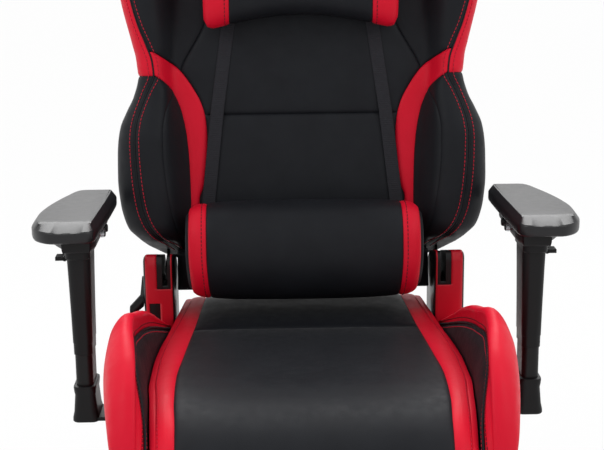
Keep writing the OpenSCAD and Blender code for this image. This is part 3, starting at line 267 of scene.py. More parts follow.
coated_steel = powder_coat("powder_coated_steel_black", ("#101011", "#161617"))
# The arm posts' coat is the frame's black powder coat made darker still: the extra darkness is painted shade, standing
# for the shade under the armrest pads.
post_coat_painted_shade = powder_coat("powder_coated_steel_post_painted_shade", ("#0b0b0c", "#101011"))
zinc = bare_steel("zinc_plated_steel", "#b9bcc0", 0.28, 3)
ground_steel = bare_steel("ground_steel", "#c9ccd0", 0.16, 2)
strap_weave = woven("polyester_webbing_grey", ("#26262a", "#303035"), 1.6)
webbing_weave = woven("polyester_webbing_black", ("#18181a", "#222224"), 2.2)
cover_cloth = woven("nonwoven_cloth_black", ("#141416", "#1c1c1e"), 1.2)

# %% Finishes, each a material with the slot that it fills
BLACK, RED = (black_pu, "black_upholstery"), (red_pu, "red_upholstery")
RED_SEWING, DARK_SEWING = (red_thread, "red_upholstery"), (dark_thread, "red_upholstery")
NYLON, TRIM, RED_TRIM = (nylon, "black_plastic"), (polypropylene, "black_plastic"), (red_abs, "red_plastic")
FOAM_SKIN, TAPE = (pad_skin, "pad_foam"), (strap_weave, "webbing")

# %% [markdown]
# ## Light and floor
# A studio for a dark chair: a lit ceiling gives the sheen along the tops and lets the fronts fall dark. It
# is a sun with a very wide disc, a little behind the chair, so it lights the floor evenly as far as the
# camera sees. Two weaker boxes at the sides round the leather off, and the room itself is pale. The floor
# is white to the camera and to mirrors, and still takes the chair's shadow.

# %% Light and floor


AIM = (0, 0, 0.6)
BOX_SIZE = 1.3
CEILING_TIP, CEILING_LIGHT, CEILING_DISC = -38, 3.0, 0.9
ROOM_LIGHT = 0.6
FLOOR, FLOOR_GREY, FLOOR_GLOW, FLOOR_MIX = 30, 0.5, 1.24, 0.55


def softbox(name, at, watts):
    """A square area light that faces the seat, in metres."""
    light = linked(name, bpy.data.lights.new(name, "AREA"))
    light.data.shape = "SQUARE"
    light.data.size = BOX_SIZE
    light.data.energy = watts
    light.location = at
    light.rotation_euler = (Vector(AIM) - Vector(at)).to_track_quat("-Z", "Y").to_euler()


ceiling = linked("lit_ceiling", bpy.data.lights.new("lit_ceiling", "SUN"))
ceiling.rotation_euler = (math.radians(CEILING_TIP), 0, 0)
ceiling.data.energy = CEILING_LIGHT
ceiling.data.angle = CEILING_DISC
softbox("softbox_left", (-1.9, -1.3, 2.3), 13)
softbox("softbox_right", (2.0, -1.2, 2.2), 11)


def sees_white(tree):
    """1 for camera, glossy and transmission rays, which see the plain white studio."""
    path = add(tree, "ShaderNodeLightPath")
    pair = add(tree, "ShaderNodeMath", {0: path.outputs["Is Camera Ray"], 1: path.outputs["Is Glossy Ray"]},
               operation="MAXIMUM")
    return add(tree, "ShaderNodeMath", {0: pair.outputs[0], 1: path.outputs["Is Transmission Ray"]},
               operation="MAXIMUM").outputs[0]


world = bpy.data.worlds.new("studio")
bpy.context.scene.world = world
world.use_nodes = True
room = world.node_tree
background = room.nodes["Background"]
ambient = add(room, "ShaderNodeMapRange", {0: sees_white(room), 1: 0.0, 2: 1.0, 3: ROOM_LIGHT, 4: 1.0})
background.inputs["Color"].default_value = (1, 1, 1, 1)
room.links.new(ambient.outputs[0], background.inputs["Strength"])

floor_mesh = bpy.data.meshes.new("floor")
floor_mesh.from_pydata([(-FLOOR, -FLOOR, 0), (FLOOR, -FLOOR, 0), (FLOOR, FLOOR, 0), (-FLOOR, FLOOR, 0)], [],
                       [(0, 1, 2, 3)])
floor = linked("floor", floor_mesh)
floor_paint, paint_tree, paint = new_material("studio_floor", Roughness=0.9, Specular_IOR_Level=0.0)
paint.inputs["Base Color"].default_value = (FLOOR_GREY, FLOOR_GREY, FLOOR_GREY, 1)
glow = add(paint_tree, "ShaderNodeEmission", {"Strength": FLOOR_GLOW})
half_seen = add(paint_tree, "ShaderNodeMath", {0: sees_white(paint_tree), 1: FLOOR_MIX}, operation="MULTIPLY")
blend_floor = add(paint_tree, "ShaderNodeMixShader",
                  {0: half_seen.outputs[0], 1: paint.outputs[0], 2: glow.outputs[0]})
paint_tree.links.new(blend_floor.outputs[0], paint_tree.nodes["Material Output"].inputs["Surface"])
floor_mesh.materials.append(floor_paint)

# %% [markdown]
# ## Curves, forms and panels
# A pattern maker describes a padded part by its outline at several stations. A form does the same: one
# section for each station, smooth between a few chosen points. A panel is the piece of cover between two
# lines on a form. Its edges roll down into the seams and its middle swells, which is what foam does under
# sewn leather. Panels share their seam lines, so neighbours meet at the bottom of the same groove.

# %% Smooth curves and forms


def smooth(points):
    """A smooth curve through a few (place, value) pairs, which never swings past them."""
    place, value = (np.array(column, float) for column in zip(*points))
    step = np.diff(place)
    slope = np.diff(value) / step
    tangent = np.concatenate([[slope[0]], np.zeros(len(step) - 1), [slope[-1]]])
    for i in range(1, len(step)):
        if slope[i - 1] * slope[i] > 0:
            tangent[i] = 2 / (1 / slope[i - 1] + 1 / slope[i])

    def at(x):
        x = np.clip(x, place[0], place[-1])
        i = np.clip(np.searchsorted(place, x, side="right") - 1, 0, len(step) - 1)
        t = (x - place[i]) / step[i]
        return (value[i] + t * step[i] * tangent[i]
                + t ** 2 * (3 * slope[i] - 2 * tangent[i] - tangent[i + 1]) * step[i]
                + t ** 3 * (tangent[i] + tangent[i + 1] - 2 * slope[i]) * step[i])

    return at


def run_of(points):
    """How far along a line each of its points lies."""
    return np.concatenate([[0], np.cumsum(np.linalg.norm(np.diff(points, axis=0), axis=1))])


def spaced(line, run, at):
    """The points of a line at the distances along it that are asked for."""
    return np.stack([np.interp(at, run, column) for column in line.T], axis=1)


def unit(vectors):
    return vectors / np.maximum(np.linalg.norm(vectors, axis=-1, keepdims=True), 1e-9)


def rounded(points, count=160, softer=0):
    """A smooth line through a few corner points, as many points, made softer by averaging neighbours."""
    points = np.array(points, float)
    keep = np.concatenate([[True], np.linalg.norm(np.diff(points, axis=0), axis=1) > 1e-6])
    points = points[keep]
    run = run_of(points)
    at = np.linspace(0, run[-1], count)
    line = np.stack([smooth(list(zip(run, column)))(at) for column in points.T], axis=1)
    for _ in range(softer):
        line[1:-1] = (line[:-2] + 2 * line[1:-1] + line[2:]) / 4
    return line


class Form:
    """A padded shape: an outline of (across, out) for each station, and where that lies on the chair."""

    def __init__(self, outline, place, softer=0):
        self.outline, self.place, self.softer, self.kept = outline, place, softer, {}

    def section(self, station):
        key = round(float(station), 3)
        if key not in self.kept:
            line = rounded(self.outline(key), softer=self.softer)
            self.kept[key] = (run_of(line), line)
        return self.kept[key]

    def length(self, station):
        return self.section(station)[0][-1]

    def reach(self, station, across):
        """How far along the section it first gets that far across."""
        run, line = self.section(station)
        widest = int(np.argmax(line[:, 0])) + 1
        return float(np.interp(across, np.maximum.accumulate(line[:widest, 0]), run[:widest]))

    def at(self, station, along):
        run, line = self.section(station)
        across, out = (np.interp(along, run, column) for column in line.T)
        return np.stack(np.broadcast_arrays(*self.place(station, across, out)), axis=-1)


def normals(grid):
    """The outward direction at each point of a grid, whose rows run across and whose columns run up."""
    return unit(np.cross(np.gradient(grid, axis=1), np.gradient(grid, axis=0)))


# %% Making pieces from points and faces


def mirrored(points, side):
    """Points made for the right side, on the side asked for."""
    return np.array(points, float) * (side, 1, 1)


def flipped(faces):
    return [tuple(reversed(f)) for f in faces]


WELD, SLIVER = 0.02, 0.01


def piece(name, points, faces, finish, body, nodes=(), creased=None, side=1):
    """A piece of the chair, made for the right: a smooth mesh that rides on a body and stands for frame parts."""
    if side < 0:
        points, faces = mirrored(points, -1), flipped(faces)
    material, slot = finish
    mesh = bpy.data.meshes.new(name)
    mesh.from_pydata([tuple(p) for p in np.array(points, float).reshape(-1, 3) * MM], [], faces)
    made = bmesh.new()
    made.from_mesh(mesh)
    bmesh.ops.remove_doubles(made, verts=made.verts, dist=WELD * MM)
    bmesh.ops.dissolve_degenerate(made, edges=made.edges, dist=SLIVER * MM)
    bmesh.ops.delete(made, geom=[v for v in made.verts if not v.link_faces], context="VERTS")
    made.to_mesh(mesh)
    made.free()
    mesh.polygons.foreach_set("use_smooth", [True] * len(mesh.polygons))
    mesh.materials.append(material)
    if creased:
        mesh.set_sharp_from_angle(angle=math.radians(creased))
    obj = linked(name, mesh)
    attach(obj, body)
    if nodes:
        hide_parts(*nodes)
    return obj


def quads(rows, columns, closed=False):
    """The faces of a grid, facing the way its normals point, joined up at the side where it is closed."""
    wide = columns if closed else columns - 1
    return [(r * columns + c, r * columns + (c + 1) % columns, (r + 1) * columns + (c + 1) % columns,
             (r + 1) * columns + c) for r in range(rows - 1) for c in range(wide)]


def skin(rings):
    """The points and faces of a solid from anticlockwise rings, lowest first, closed at both ends."""
    rings = np.array(rings)
    count = rings.shape[1]
    last = (len(rings) - 1) * count
    caps = [tuple(range(count - 1, -1, -1)), tuple(range(last, last + count))]
    return rings.reshape(-1, 3), quads(len(rings), count, closed=True) + caps


# How far from a seam a panel's points lie while it rolls out of the groove
ROLL = np.array([0, 0.6, 1.4, 2.6, 4.4, 7.0])
FAR = 1000
# How quickly a panel rises out of its seam, and how far from its seams the stuffing takes to fill it
RISE, FILL = 2.4, 26


def stops(width, count):
    """Places across a panel, close together where it rolls into its seams."""
    near = ROLL * min(1, width / 20)
    inner = np.linspace(near[-1], width - near[-1], count + 2)[1:-1]
    return np.concatenate([near, inner, width - near[::-1]])


def swell(across, along, sink, crown):
    """How proud a padded panel stands, that far from the seams at its sides and at its ends."""
    edge, body = ((1 - np.exp(-across / reach)) * (1 - np.exp(-along / reach)) for reach in (RISE, FILL))
    return sink * (edge - 1) + crown * body


def from_seams(places, width, near, far):
    """How far each place is from the nearest of the two edges that are sewn."""
    return np.minimum(places + (0 if near else FAR), width - places + (0 if far else FAR))


def panel(name, form, low, high, start, end, finish, body, side=1, sink=3.0, crown=2.0, seams="lrbt", hole=None,
          nodes=(), both=False, step=5):
    """The cover between two lines on a form, as its own piece. seams says which of its edges are sewn, and
    sink how deep, as one value or as one for each side."""
    rows = low + stops(high - low, max(2, round((high - low) / step)))
    widths = [max(0, end(v) - start(v)) for v in rows]
    count = max(2, round(max(widths) / step))
    near_sink, far_sink = np.broadcast_to(sink, 2)
    grid, across, depths = [], [], []
    for v, width in zip(rows, widths):
        places = stops(width, count)
        grid.append(form.at(v, start(v) + places))
        across.append(from_seams(places, width, "l" in seams, "r" in seams))
        depths.append(np.where(places < width / 2, near_sink, far_sink))
    grid, across, depths = np.array(grid), np.array(across), np.array(depths)
    along = from_seams(rows - low, high - low, "b" in seams, "t" in seams)[:, None]
    if both:
        across, depths = (np.concatenate([part[:, :0:-1], part], axis=1) for part in (across, depths))
        grid = np.concatenate([mirrored(grid[:, :0:-1], -1), grid], axis=1)
    grid = grid + normals(grid) * swell(across, along, depths, crown)[..., None]
    faces = quads(*grid.shape[:2])
    if hole:
        flat = grid.reshape(-1, 3)
        faces = [f for f in faces if not hole(flat[list(f)].mean(axis=0))]
    piece(name, grid, faces, finish, body, nodes, side=side)


# %% Seam lines, stitches and piping


def seam_line(form, path, lift=0.0, side=1, step=1.5):
    """Points and normals at a steady step along a path of (station, along) pairs on a form."""
    path = np.array(path, float)
    points = np.array([form.at(v, s) for v, s in path])
    beside = np.array([form.at(v, s + 1) for v, s in path]) - points
    above = np.array([form.at(v + 1, s) for v, s in path]) - points
    run = run_of(points)
    at = np.arange(0, run[-1], step)
    points, out = (spaced(rows, run, at) for rows in (points, unit(np.cross(beside, above))))
    return mirrored(points + out * lift, side), mirrored(out, side)


def circle(sides):
    """A circle of radius 1, as points."""
    turn = np.arange(sides) * 2 * math.pi / sides
    return np.stack([np.cos(turn), np.sin(turn)], axis=1)


def sweep(points, out, section, size=1.0):
    """A closed section of (across, lift), swept along a line at one size or at one for each point."""
    ahead = unit(np.gradient(points, axis=0))
    across = unit(np.cross(ahead, out))
    wide, tall = (np.array(column, float)[:, None] for column in zip(*section))
    size = np.broadcast_to(size, len(points))[:, None, None]
    return skin(points[:, None] + size * (across[:, None] * wide + np.cross(across, ahead)[:, None] * tall))


def piping(name, line, radius, body):
    """A sewn-in cord of black leather along a seam."""
    piece(name, *sweep(*line, circle(8), radius), BLACK, body)


STITCH, GAP, THREAD_R = 4.0, 1.8, 0.62


def stitching(name, lines, finish, body):
    """A row of short stitches along each seam line, each diving into the leather at its ends."""
    points, faces = [], []
    for line, out in lines:
        run = run_of(line)
        for start in np.arange(GAP, run[-1] - STITCH, STITCH + GAP):
            at = start + STITCH * np.array([0, 0.12, 0.5, 0.88, 1])
            dash, up = (spaced(rows, run, at) for rows in (line, out))
            dash = dash + up * np.array([-0.5, 0.15, 0.35, 0.15, -0.5])[:, None]
            cord, around = sweep(dash, up, circle(6), THREAD_R * np.array([0.7, 1, 1, 1, 0.7]))
            faces += [tuple(i + len(points) for i in f) for f in around]
            points += list(cord)
    piece(name, points, faces, finish, body)


print("panels roll over", ROLL[-1], "mm; stitches are", STITCH, "mm long")

# %% [markdown]
# ## Backrest
# The backrest is one moulded foam block on a steel frame. Its middle is nearly flat, and the wings stand
# forward at the waist and again at the shoulders. The cover is cut so that a red band follows the inside of
# each wing and then sweeps over it to the outside edge. The outlines below are in the backrest's own frame:
# across from the middle, up along the lean, and depth behind the plane that the sitter leans on.

# %% Backrest outlines
PIN_Y, PIN_Z = 205, 520
LEAN = math.radians(8)
BACK_LOW, WING_LOW, BACK_TOP = 20, 38, 775
TRUNK_LOW = -12
REAR = 68

valley_x = smooth([(20, 180), (44, 184), (57, 167), (127, 168), (176, 169), (220, 172), (246, 176), (269, 182),
                   (290, 189), (320, 192), (360, 188), (430, 184), (520, 178), (600, 156), (650, 124), (775, 76)])
ridge_back_x = smooth([(58, 188), (124, 198), (159, 202), (221, 206), (246, 205), (289, 204), (320, 210),
                       (400, 214), (480, 218), (540, 206), (600, 168), (650, 138), (775, 84)])
outline_x = smooth([(38, 212), (47.5, 226), (57, 238), (66, 246), (75, 254.5), (84, 263), (103, 270.5), (121, 274.5),
                    (160, 278), (195, 277.5), (212, 276.5), (237, 272.5), (261, 262.5), (284, 251.5), (312, 245),
                    (340, 247), (362, 252), (430, 268), (480, 275),
                    (520, 266), (560, 234), (590, 198), (612, 172), (640, 158), (700, 150), (740, 147),
                    (760, 134), (770, 116), (775, 96)])
wing_front = smooth([(60, -14), (68, -30), (93, -48), (150, -55), (220, -56), (265, -46), (300, -36), (340, -34),
                     (392, -40), (450, -46), (500, -40), (550, -22), (600, -6), (700, -8), (775, -4)])
head_lean = smooth([(640, 0), (700, 4), (740, 11), (775, 22)])
# The wing's underside slants back over the hinge cover, so its depth shrinks towards its foot
wing_foot = smooth([(38, 0.04), (48, 0.3), (58, 0.68), (66, 0.9), (76, 1)])
trunk_rear = smooth([(-12, 10), (-6, 20), (2, 27), (20, 50), (40, 68)])


def on_back(w, x, depth):
    """The backrest's own frame on the chair."""
    return (x, PIN_Y + depth * math.cos(LEAN) + w * math.sin(LEAN),
            PIN_Z - depth * math.sin(LEAN) + w * math.cos(LEAN))


def closing(v, low, high, radius):
    """1 inside, and down to 0 in a quarter round at either end."""
    near = min(1.0, (v - low) / radius, (high - v) / radius)
    return math.sqrt(max(0.0, 1 - (1 - near) ** 2)) if near < 1 else 1.0


def drawn_to(points, level, share):
    """Draws a section's points towards one depth, until only that share of their distance is left."""
    points[:, 1] = level + (points[:, 1] - level) * share


def back_outline(w):
    """Half of the backrest's section: from the middle over the wing and round to the rear."""
    valley, ridge, out, front = (float(f(w)) for f in (valley_x, ridge_back_x, outline_x, wing_front))
    rear = REAR - float(head_lean(w))
    wide = out - ridge
    points = np.array([
        (0, -1.5), (0.5 * valley, -1), (valley - 22, 0), (valley, min(-1.5, 0.06 * front)),
        (0.5 * (valley + ridge), 0.46 * front), (ridge, 0.88 * front), (ridge + 0.25 * wide, front),
        (ridge + 0.55 * wide, 0.97 * front), (ridge + 0.8 * wide, 0.76 * front), (out - 0.03 * wide, 0.42 * front),
        (out, 0.1 * front), (out, 0.65 * rear), (out - 3, 0.85 * rear), (out - 10, rear)])
    far = np.clip((points[:, 0] - valley + 14) / 16, 0, 1)
    drawn_to(points, 0.85 * rear, 1 - far * (1 - float(wing_foot(w))))
    drawn_to(points, 0.55 * rear, closing(w, -BACK_TOP, BACK_TOP, 26))
    return points


def trunk_outline(w):
    """Half of the section below the wings."""
    valley = max(float(valley_x(w)) + 4, 193 if w < 45 else 0)
    rear = float(trunk_rear(w))
    points = np.array([(0, -1.5), (0.5 * valley, -1), (valley - 22, 0), (valley - 6, 3), (valley, 0.2 * rear),
                       (valley, 0.8 * rear), (valley - 8, rear)])
    drawn_to(points, 0.4 * rear, closing(w, TRUNK_LOW, 2 * BACK_TOP, 22))
    return points


backrest = Form(back_outline, on_back, softer=14)
trunk = Form(trunk_outline, on_back)

# %% Seam lines of the backrest
band_inner_x = smooth([(20, 158), (127, 156), (149, 149), (176, 145), (201, 143.5), (224, 143), (249, 145),
                       (272, 151), (297, 164), (321, 181), (337, 199), (350, 222), (356, 240)])
band_outer_x = smooth([(20, 168), (127, 168), (176, 169), (220, 172), (246, 176), (269, 182), (290, 191),
                       (304, 202), (314, 217), (320, 232)])
crease_x = smooth([(58, 180), (93, 191), (124, 198), (159, 203), (200, 206), (232, 206), (254, 203), (289, 192)])
wing_seam_x = smooth([(45, 190), (57, 200), (73, 218), (93, 232), (118, 240.5), (156, 246), (194, 248.5), (219, 249),
                      (245, 246), (265, 240), (290, 230), (315, 219), (335, 221), (358, 229), (391, 242),
                      (430, 252), (480, 258), (520, 248), (560, 216), (600, 166), (650, 138), (700, 130),
                      (775, 80)])
upper_seam_x = smooth([(300, 166), (321, 181), (335, 176), (359, 162), (390, 145), (450, 128), (520, 118),
                       (600, 116), (650, 106), (775, 66)])
BAND_END = 291
UPPER_LOW = 320
STRIP_LOW = 314
BAND_TOP = 349
WAIST_SEAM = 255
SHOULDER_SEAM = 505
HEAD_SEAM = 632


def to(line):
    """Where a seam line, given as distances across, lies along the backrest's sections."""
    return lambda w: backrest.reach(w, float(line(w)))


def middle(w):
    return 0.0


def end_of(form):
    return form.length


def inner_edge(w):
    return backrest.reach(w, float(band_inner_x(w) if w < 321 else upper_seam_x(w)))


def band_end(w):
    return backrest.reach(w, min(float(band_outer_x(w)), float(wing_seam_x(w))))


def upper_end(w):
    return backrest.reach(w, min(float(band_inner_x(w)) if w < BAND_TOP else FAR, float(wing_seam_x(w))))


def crest_start(w):
    return backrest.reach(w, max(float(band_outer_x(w)), float(crease_x(w)) if w < BAND_END else 0))


# %% [markdown]
# The two harness holes near the top are real openings, so the upper panel is cut there. Its cut edge
# hides under the lip of the moulded trims.

# %% Backrest panels
HOLE_X, HOLE_W, HOLE_WIDE, HOLE_HIGH, HOLE_EASE = 84, 576, 42, 48, 3


def in_hole(point):
    """Whether a point in front or behind lies within one of the harness holes."""
    w = (point[1] - PIN_Y) * math.sin(LEAN) + (point[2] - PIN_Z) * math.cos(LEAN)
    return (abs(abs(point[0]) - HOLE_X) < HOLE_WIDE / 2 + HOLE_EASE
            and abs(w - HOLE_W) < HOLE_HIGH / 2 + HOLE_EASE)


def back_panel(name, low, high, start, end, finish=BLACK, form=backrest, **more):
    """A panel of the backrest, in black unless another finish is given."""
    panel(name, form, low, high, start, end, finish, "back", **more)


back_panel("back_centre_low", WING_LOW, WAIST_SEAM, middle, inner_edge, both=True, seams="rt", crown=4,
           nodes=("back_cushion",))
back_panel("back_centre_waist", WAIST_SEAM, SHOULDER_SEAM, middle, inner_edge, both=True, seams="rbt", crown=4)
back_panel("back_centre_shoulder", SHOULDER_SEAM, HEAD_SEAM, middle, inner_edge, both=True, seams="rbt", crown=3,
           hole=in_hole, step=3.5)
back_panel("back_centre_head", HEAD_SEAM, BACK_TOP, middle, inner_edge, both=True, seams="rb", crown=4)
back_panel("back_trunk", TRUNK_LOW, 80, middle, end_of(trunk), form=trunk, both=True, seams="", sink=0,
           crown=0)
for side, word in SIDES:
    back_panel(f"back_band_{word}", WING_LOW, BAND_TOP, to(band_inner_x), band_end, RED, side=side, seams="lr",
               sink=2.5, crown=1.5, step=4)
    back_panel(f"wing_inner_{word}", WING_LOW, BAND_END, to(band_outer_x), to(crease_x), side=side, seams="lr",
               sink=(2.5, 1.2), crown=0.8)
    back_panel(f"wing_front_{word}", WING_LOW, STRIP_LOW, crest_start, to(wing_seam_x), side=side, seams="lr",
               sink=(1.2, 2.5), crown=1, nodes=(f"back_wing_{word}",), step=4)
    back_panel(f"wing_side_{word}", WING_LOW, STRIP_LOW, to(wing_seam_x), end_of(backrest), side=side, seams="lt",
               sink=2.5, crown=1, step=4)
    back_panel(f"wing_strip_{word}", STRIP_LOW, BACK_TOP, to(wing_seam_x), end_of(backrest), RED, side=side,
               seams="lb", sink=2.5, crown=1)
    back_panel(f"wing_upper_{word}", UPPER_LOW, BACK_TOP, to(upper_seam_x), upper_end, side=side, seams="lr",
               sink=2.5, crown=2)

# %% [markdown]
# The rear of the backrest is a separate padded panel over the shell, sewn to the sides with a piped edge.
# A seam down each side and one across give it the same cut as the front, in plain black.

# %% Rear panel
REAR_SKIN = 13


def shell_outline(w):
    """Half of the rear panel's section, from its middle to the edge that meets the wing."""
    half = float(outline_x(w)) - 7 if w > WING_LOW else 172 + 33 * (w - BACK_LOW) / (WING_LOW - BACK_LOW)
    points = np.array([(0, REAR + REAR_SKIN), (half - 60, REAR + REAR_SKIN), (half - 18, REAR + 0.9 * REAR_SKIN),
                       (half - 5, REAR + 0.5 * REAR_SKIN), (half, REAR - 1)])
    drawn_to(points, REAR - 4, closing(w, BACK_LOW + 6, BACK_TOP, 22))
    points[:, 1] -= float(head_lean(w))
    return points


def on_rear(w, x, depth):
    """The rear panel, seen from behind, where across runs to the viewer's right."""
    return on_back(w, -x, depth)


rear = Form(shell_outline, on_rear)
rear_seam_x = smooth([(26, 120), (120, 150), (300, 140), (480, 150), (600, 110), (775, 50)])


def rear_seam(w):
    return rear.reach(w, float(rear_seam_x(w)))


REAR_LOW, REAR_SEAM_W = BACK_LOW + 6, 300
back_panel("rear_centre_low", REAR_LOW, REAR_SEAM_W, middle, rear_seam, form=rear, both=True, seams="rt", crown=3,
           step=6, hole=in_hole, nodes=("back_shell",))
back_panel("rear_centre_high", REAR_SEAM_W, BACK_TOP, middle, rear_seam, form=rear, both=True, seams="rb", crown=3,
           step=4, hole=in_hole)
for side, word in SIDES:
    back_panel(f"rear_side_{word}", REAR_LOW, BACK_TOP, rear_seam, end_of(rear), form=rear, side=-side, seams="l",
               crown=2, step=6)
print("rear panel is", round(2 * float(outline_x(480)) - 14), "mm across the shoulders")

# %% [markdown]
# ## Topstitching on the backrest
# The long seam over each wing is the chair's signature. It is closed with a row of thread on either side,
# and red thread shows on the black leather. Each stitch here is a short piece of cord that dives in at
# both ends, because bump alone would vanish at the chair's edge.

# %% Backrest seams
STITCH_OFF = 7.5


def wing_path(low, high, line, off=0.0):
    return [(w, to(line)(w) + off) for w in np.arange(low, high, 6)]


for side, word in SIDES:
    lines = [seam_line(backrest, wing_path(WING_LOW + 8, BACK_TOP - 24, wing_seam_x, off), 0.4, side)
             for off in (-STITCH_OFF, STITCH_OFF)]
    stitching(f"wing_stitches_{word}", lines, RED_SEWING, "back")
    welt = seam_line(backrest, wing_path(WING_LOW + 3, BACK_TOP - 14, wing_seam_x), -1.6, side)
    piping(f"wing_welt_{word}", welt, 1.3, "back")
    edge = seam_line(backrest, [(w, backrest.length(w) - 1) for w in np.arange(WING_LOW + 4, BACK_TOP - 8, 6)],
                     0.5, side)
    piping(f"rear_piping_{word}", edge, 2.4, "back")
print("stitch rows stand", STITCH_OFF, "mm from the seam")

# %% [markdown]
# ## Seat cushion
# The cushion's top is one long profile that rolls over the front edge. Sections stand square to that
# profile, so the crown follows the roll instead of being cut flat. The middle is black with one seam
# across, a red band runs down each side, and each band ends in a folded welt above the bolster.

# %% Seat outlines
seat_low, seat_high = corners("seat_cushion")
SEAT_REAR, SEAT_TOP = seat_high[1:]
profile = rounded([(-297, seat_low[2] + 1), (-300, SEAT_TOP - 79), (-295, SEAT_TOP - 62), (-282, SEAT_TOP - 43),
                   (-262, SEAT_TOP - 26), (-236, SEAT_TOP - 13), (-208, SEAT_TOP - 5.5), (-170, SEAT_TOP - 1),
                   (-110, SEAT_TOP), (80, SEAT_TOP + 1), (170, SEAT_TOP + 5), (225, SEAT_TOP + 8),
                   (SEAT_REAR - 3, SEAT_TOP + 1), (SEAT_REAR, SEAT_TOP - 30), (SEAT_REAR, seat_low[2] + 3)], 400)
profile_run = run_of(profile)
cushion_half = smooth([(-300, 203), (-240, 206), (-190, 209), (-122, 214), (-60, 214), (7, 211), (83, 203),
                       (145, 194), (244, 181)])
seat_drop = smooth([(0, 5), (30, 10), (60, 15), (100, 13), (150, 11), (420, 10), (500, 6), (640, 4)])
seat_side = smooth([(0, 24), (60, 30), (110, 60), (150, 88), (525, 88), (545, 40), (640, 20)])
centre_x = smooth([(-300, 171), (-255, 172), (-208, 175), (-125, 176.5), (-40, 171.5), (20, 167.5), (80, 163),
                   (160, 157), (244, 150)])


def profile_at(run):
    """The place on the seat's profile, and the way out of it, at a distance from its front foot."""
    y, z = (np.interp(run, profile_run, column) for column in profile.T)
    ahead = [np.interp(run + 4, profile_run, c) - np.interp(run - 4, profile_run, c) for c in profile.T]
    size = np.hypot(*ahead)
    return y, z, -ahead[1] / size, ahead[0] / size


def on_seat(run, x, out):
    y, z, out_y, out_z = profile_at(run)
    return (x, y + out * out_y, z + out * out_z)


def seat_outline(run):
    """Half of the cushion's section, square to its profile."""
    half = float(cushion_half(profile_at(run)[0])) - 1
    drop, skirt = float(seat_drop(run)), float(seat_side(run))
    return [(0, 0), (0.5 * half, 0), (half - 34, -0.5), (half - 12, -0.4 * drop), (half - 3, -0.8 * drop),
            (half, -drop), (half, -drop - 0.4 * skirt), (half, -skirt)]


def run_at_y(y):
    """How far along the profile its top reaches a depth."""
    top = profile_run > 60
    return float(np.interp(y, profile[top][:, 0], profile_run[top]))


seat = Form(seat_outline, on_seat)
WELT = 8
CROSS_SEAM = run_at_y(78)
SEAT_END = float(profile_run[-1])


def band_line(run):
    return seat.reach(run, float(centre_x(profile_at(run)[0])))


def welt_line(run):
    return seat.reach(run, float(cushion_half(profile_at(run)[0])) - 1 - WELT)


def crease_line(run):
    return welt_line(run) + WELT + 5


# %% Seat panels
panel("seat_centre_front", seat, 1, CROSS_SEAM, middle, band_line, BLACK, "seat", both=True, seams="rt", crown=5,
      sink=2, step=6, nodes=("seat_cushion",))
panel("seat_centre_rear", seat, CROSS_SEAM, SEAT_END, middle, band_line, BLACK, "seat", both=True, seams="rb",
      crown=5, sink=2, step=6)
for side, word in SIDES:
    panel(f"seat_band_{word}", seat, 1, SEAT_END, band_line, welt_line, RED, "seat", side=side, seams="lr",
          crown=2, sink=(2, 1.3), step=4)
    panel(f"seat_welt_{word}", seat, 1, SEAT_END, welt_line, crease_line, RED, "seat", side=side, seams="lr",
          crown=0.5, sink=(1.3, 2), step=3)
    panel(f"seat_side_{word}", seat, 1, SEAT_END, crease_line, end_of(seat), BLACK, "seat", side=side, seams="l",
          crown=0, sink=2, step=7)
    row = seam_line(seat, [(run, welt_line(run) - 3.5) for run in np.arange(6, 560, 6)], 0.3, side)
    stitching(f"seat_stitches_{word}", [row], RED_SEWING, "seat")
print("seat profile is", round(SEAT_END), "mm from front foot to rear foot")

# %% [markdown]
# ## Seat bolsters
# Each bolster is a thick horn of foam beside the thighs. Its outside is one red panel that rolls over the
# ridge, its inside is black, and black piping closes the seam between them. The nose is a quarter round
# that dives into the front of the cushion.

# %% Bolster outlines
horn_low, horn_high = corners("seat_bolster_right")
HORN_FRONT, HORN_REAR = horn_low[1], horn_high[1]
HORN_RISE = horn_high[2] - SEAT_TOP
crease_drop = smooth([(-298, 84), (-285, 68), (-260, 43), (-240, 29), (-208, 17), (-150, 10), (40, 12), (100, 18),
                      (145, 26)])
ridge_x = smooth([(-292, 224), (-220, 227), (-150, 235), (-110, 237.5), (-60, 231.5), (0, 226.5), (60, 219),
                  (120, 209.5), (145, 205)])
ridge_share = smooth([(-292, -0.86), (-285, -0.52), (-270, -0.06), (-245, 0.39), (-210, 0.73), (-160, 0.94),
                      (-110, 0.97), (-60, 0.83), (-15, 0.7), (25, 0.53), (60, 0.33), (95, 0.13), (145, -0.15)])
horn_outer = smooth([(-292, 240), (-270, 250), (-240, 256), (-200, 262), (-150, 266.5), (-60, 268), (0, 264),
                     (60, 256), (145, 240)])
horn_seam_x = smooth([(-292, 207), (-260, 208.5), (-240, 212.5), (-210, 221), (-170, 225.5), (-120, 229.5),
                      (-60, 225.8), (0, 220.8), (60, 213.2), (120, 203.8), (145, 199.5)])


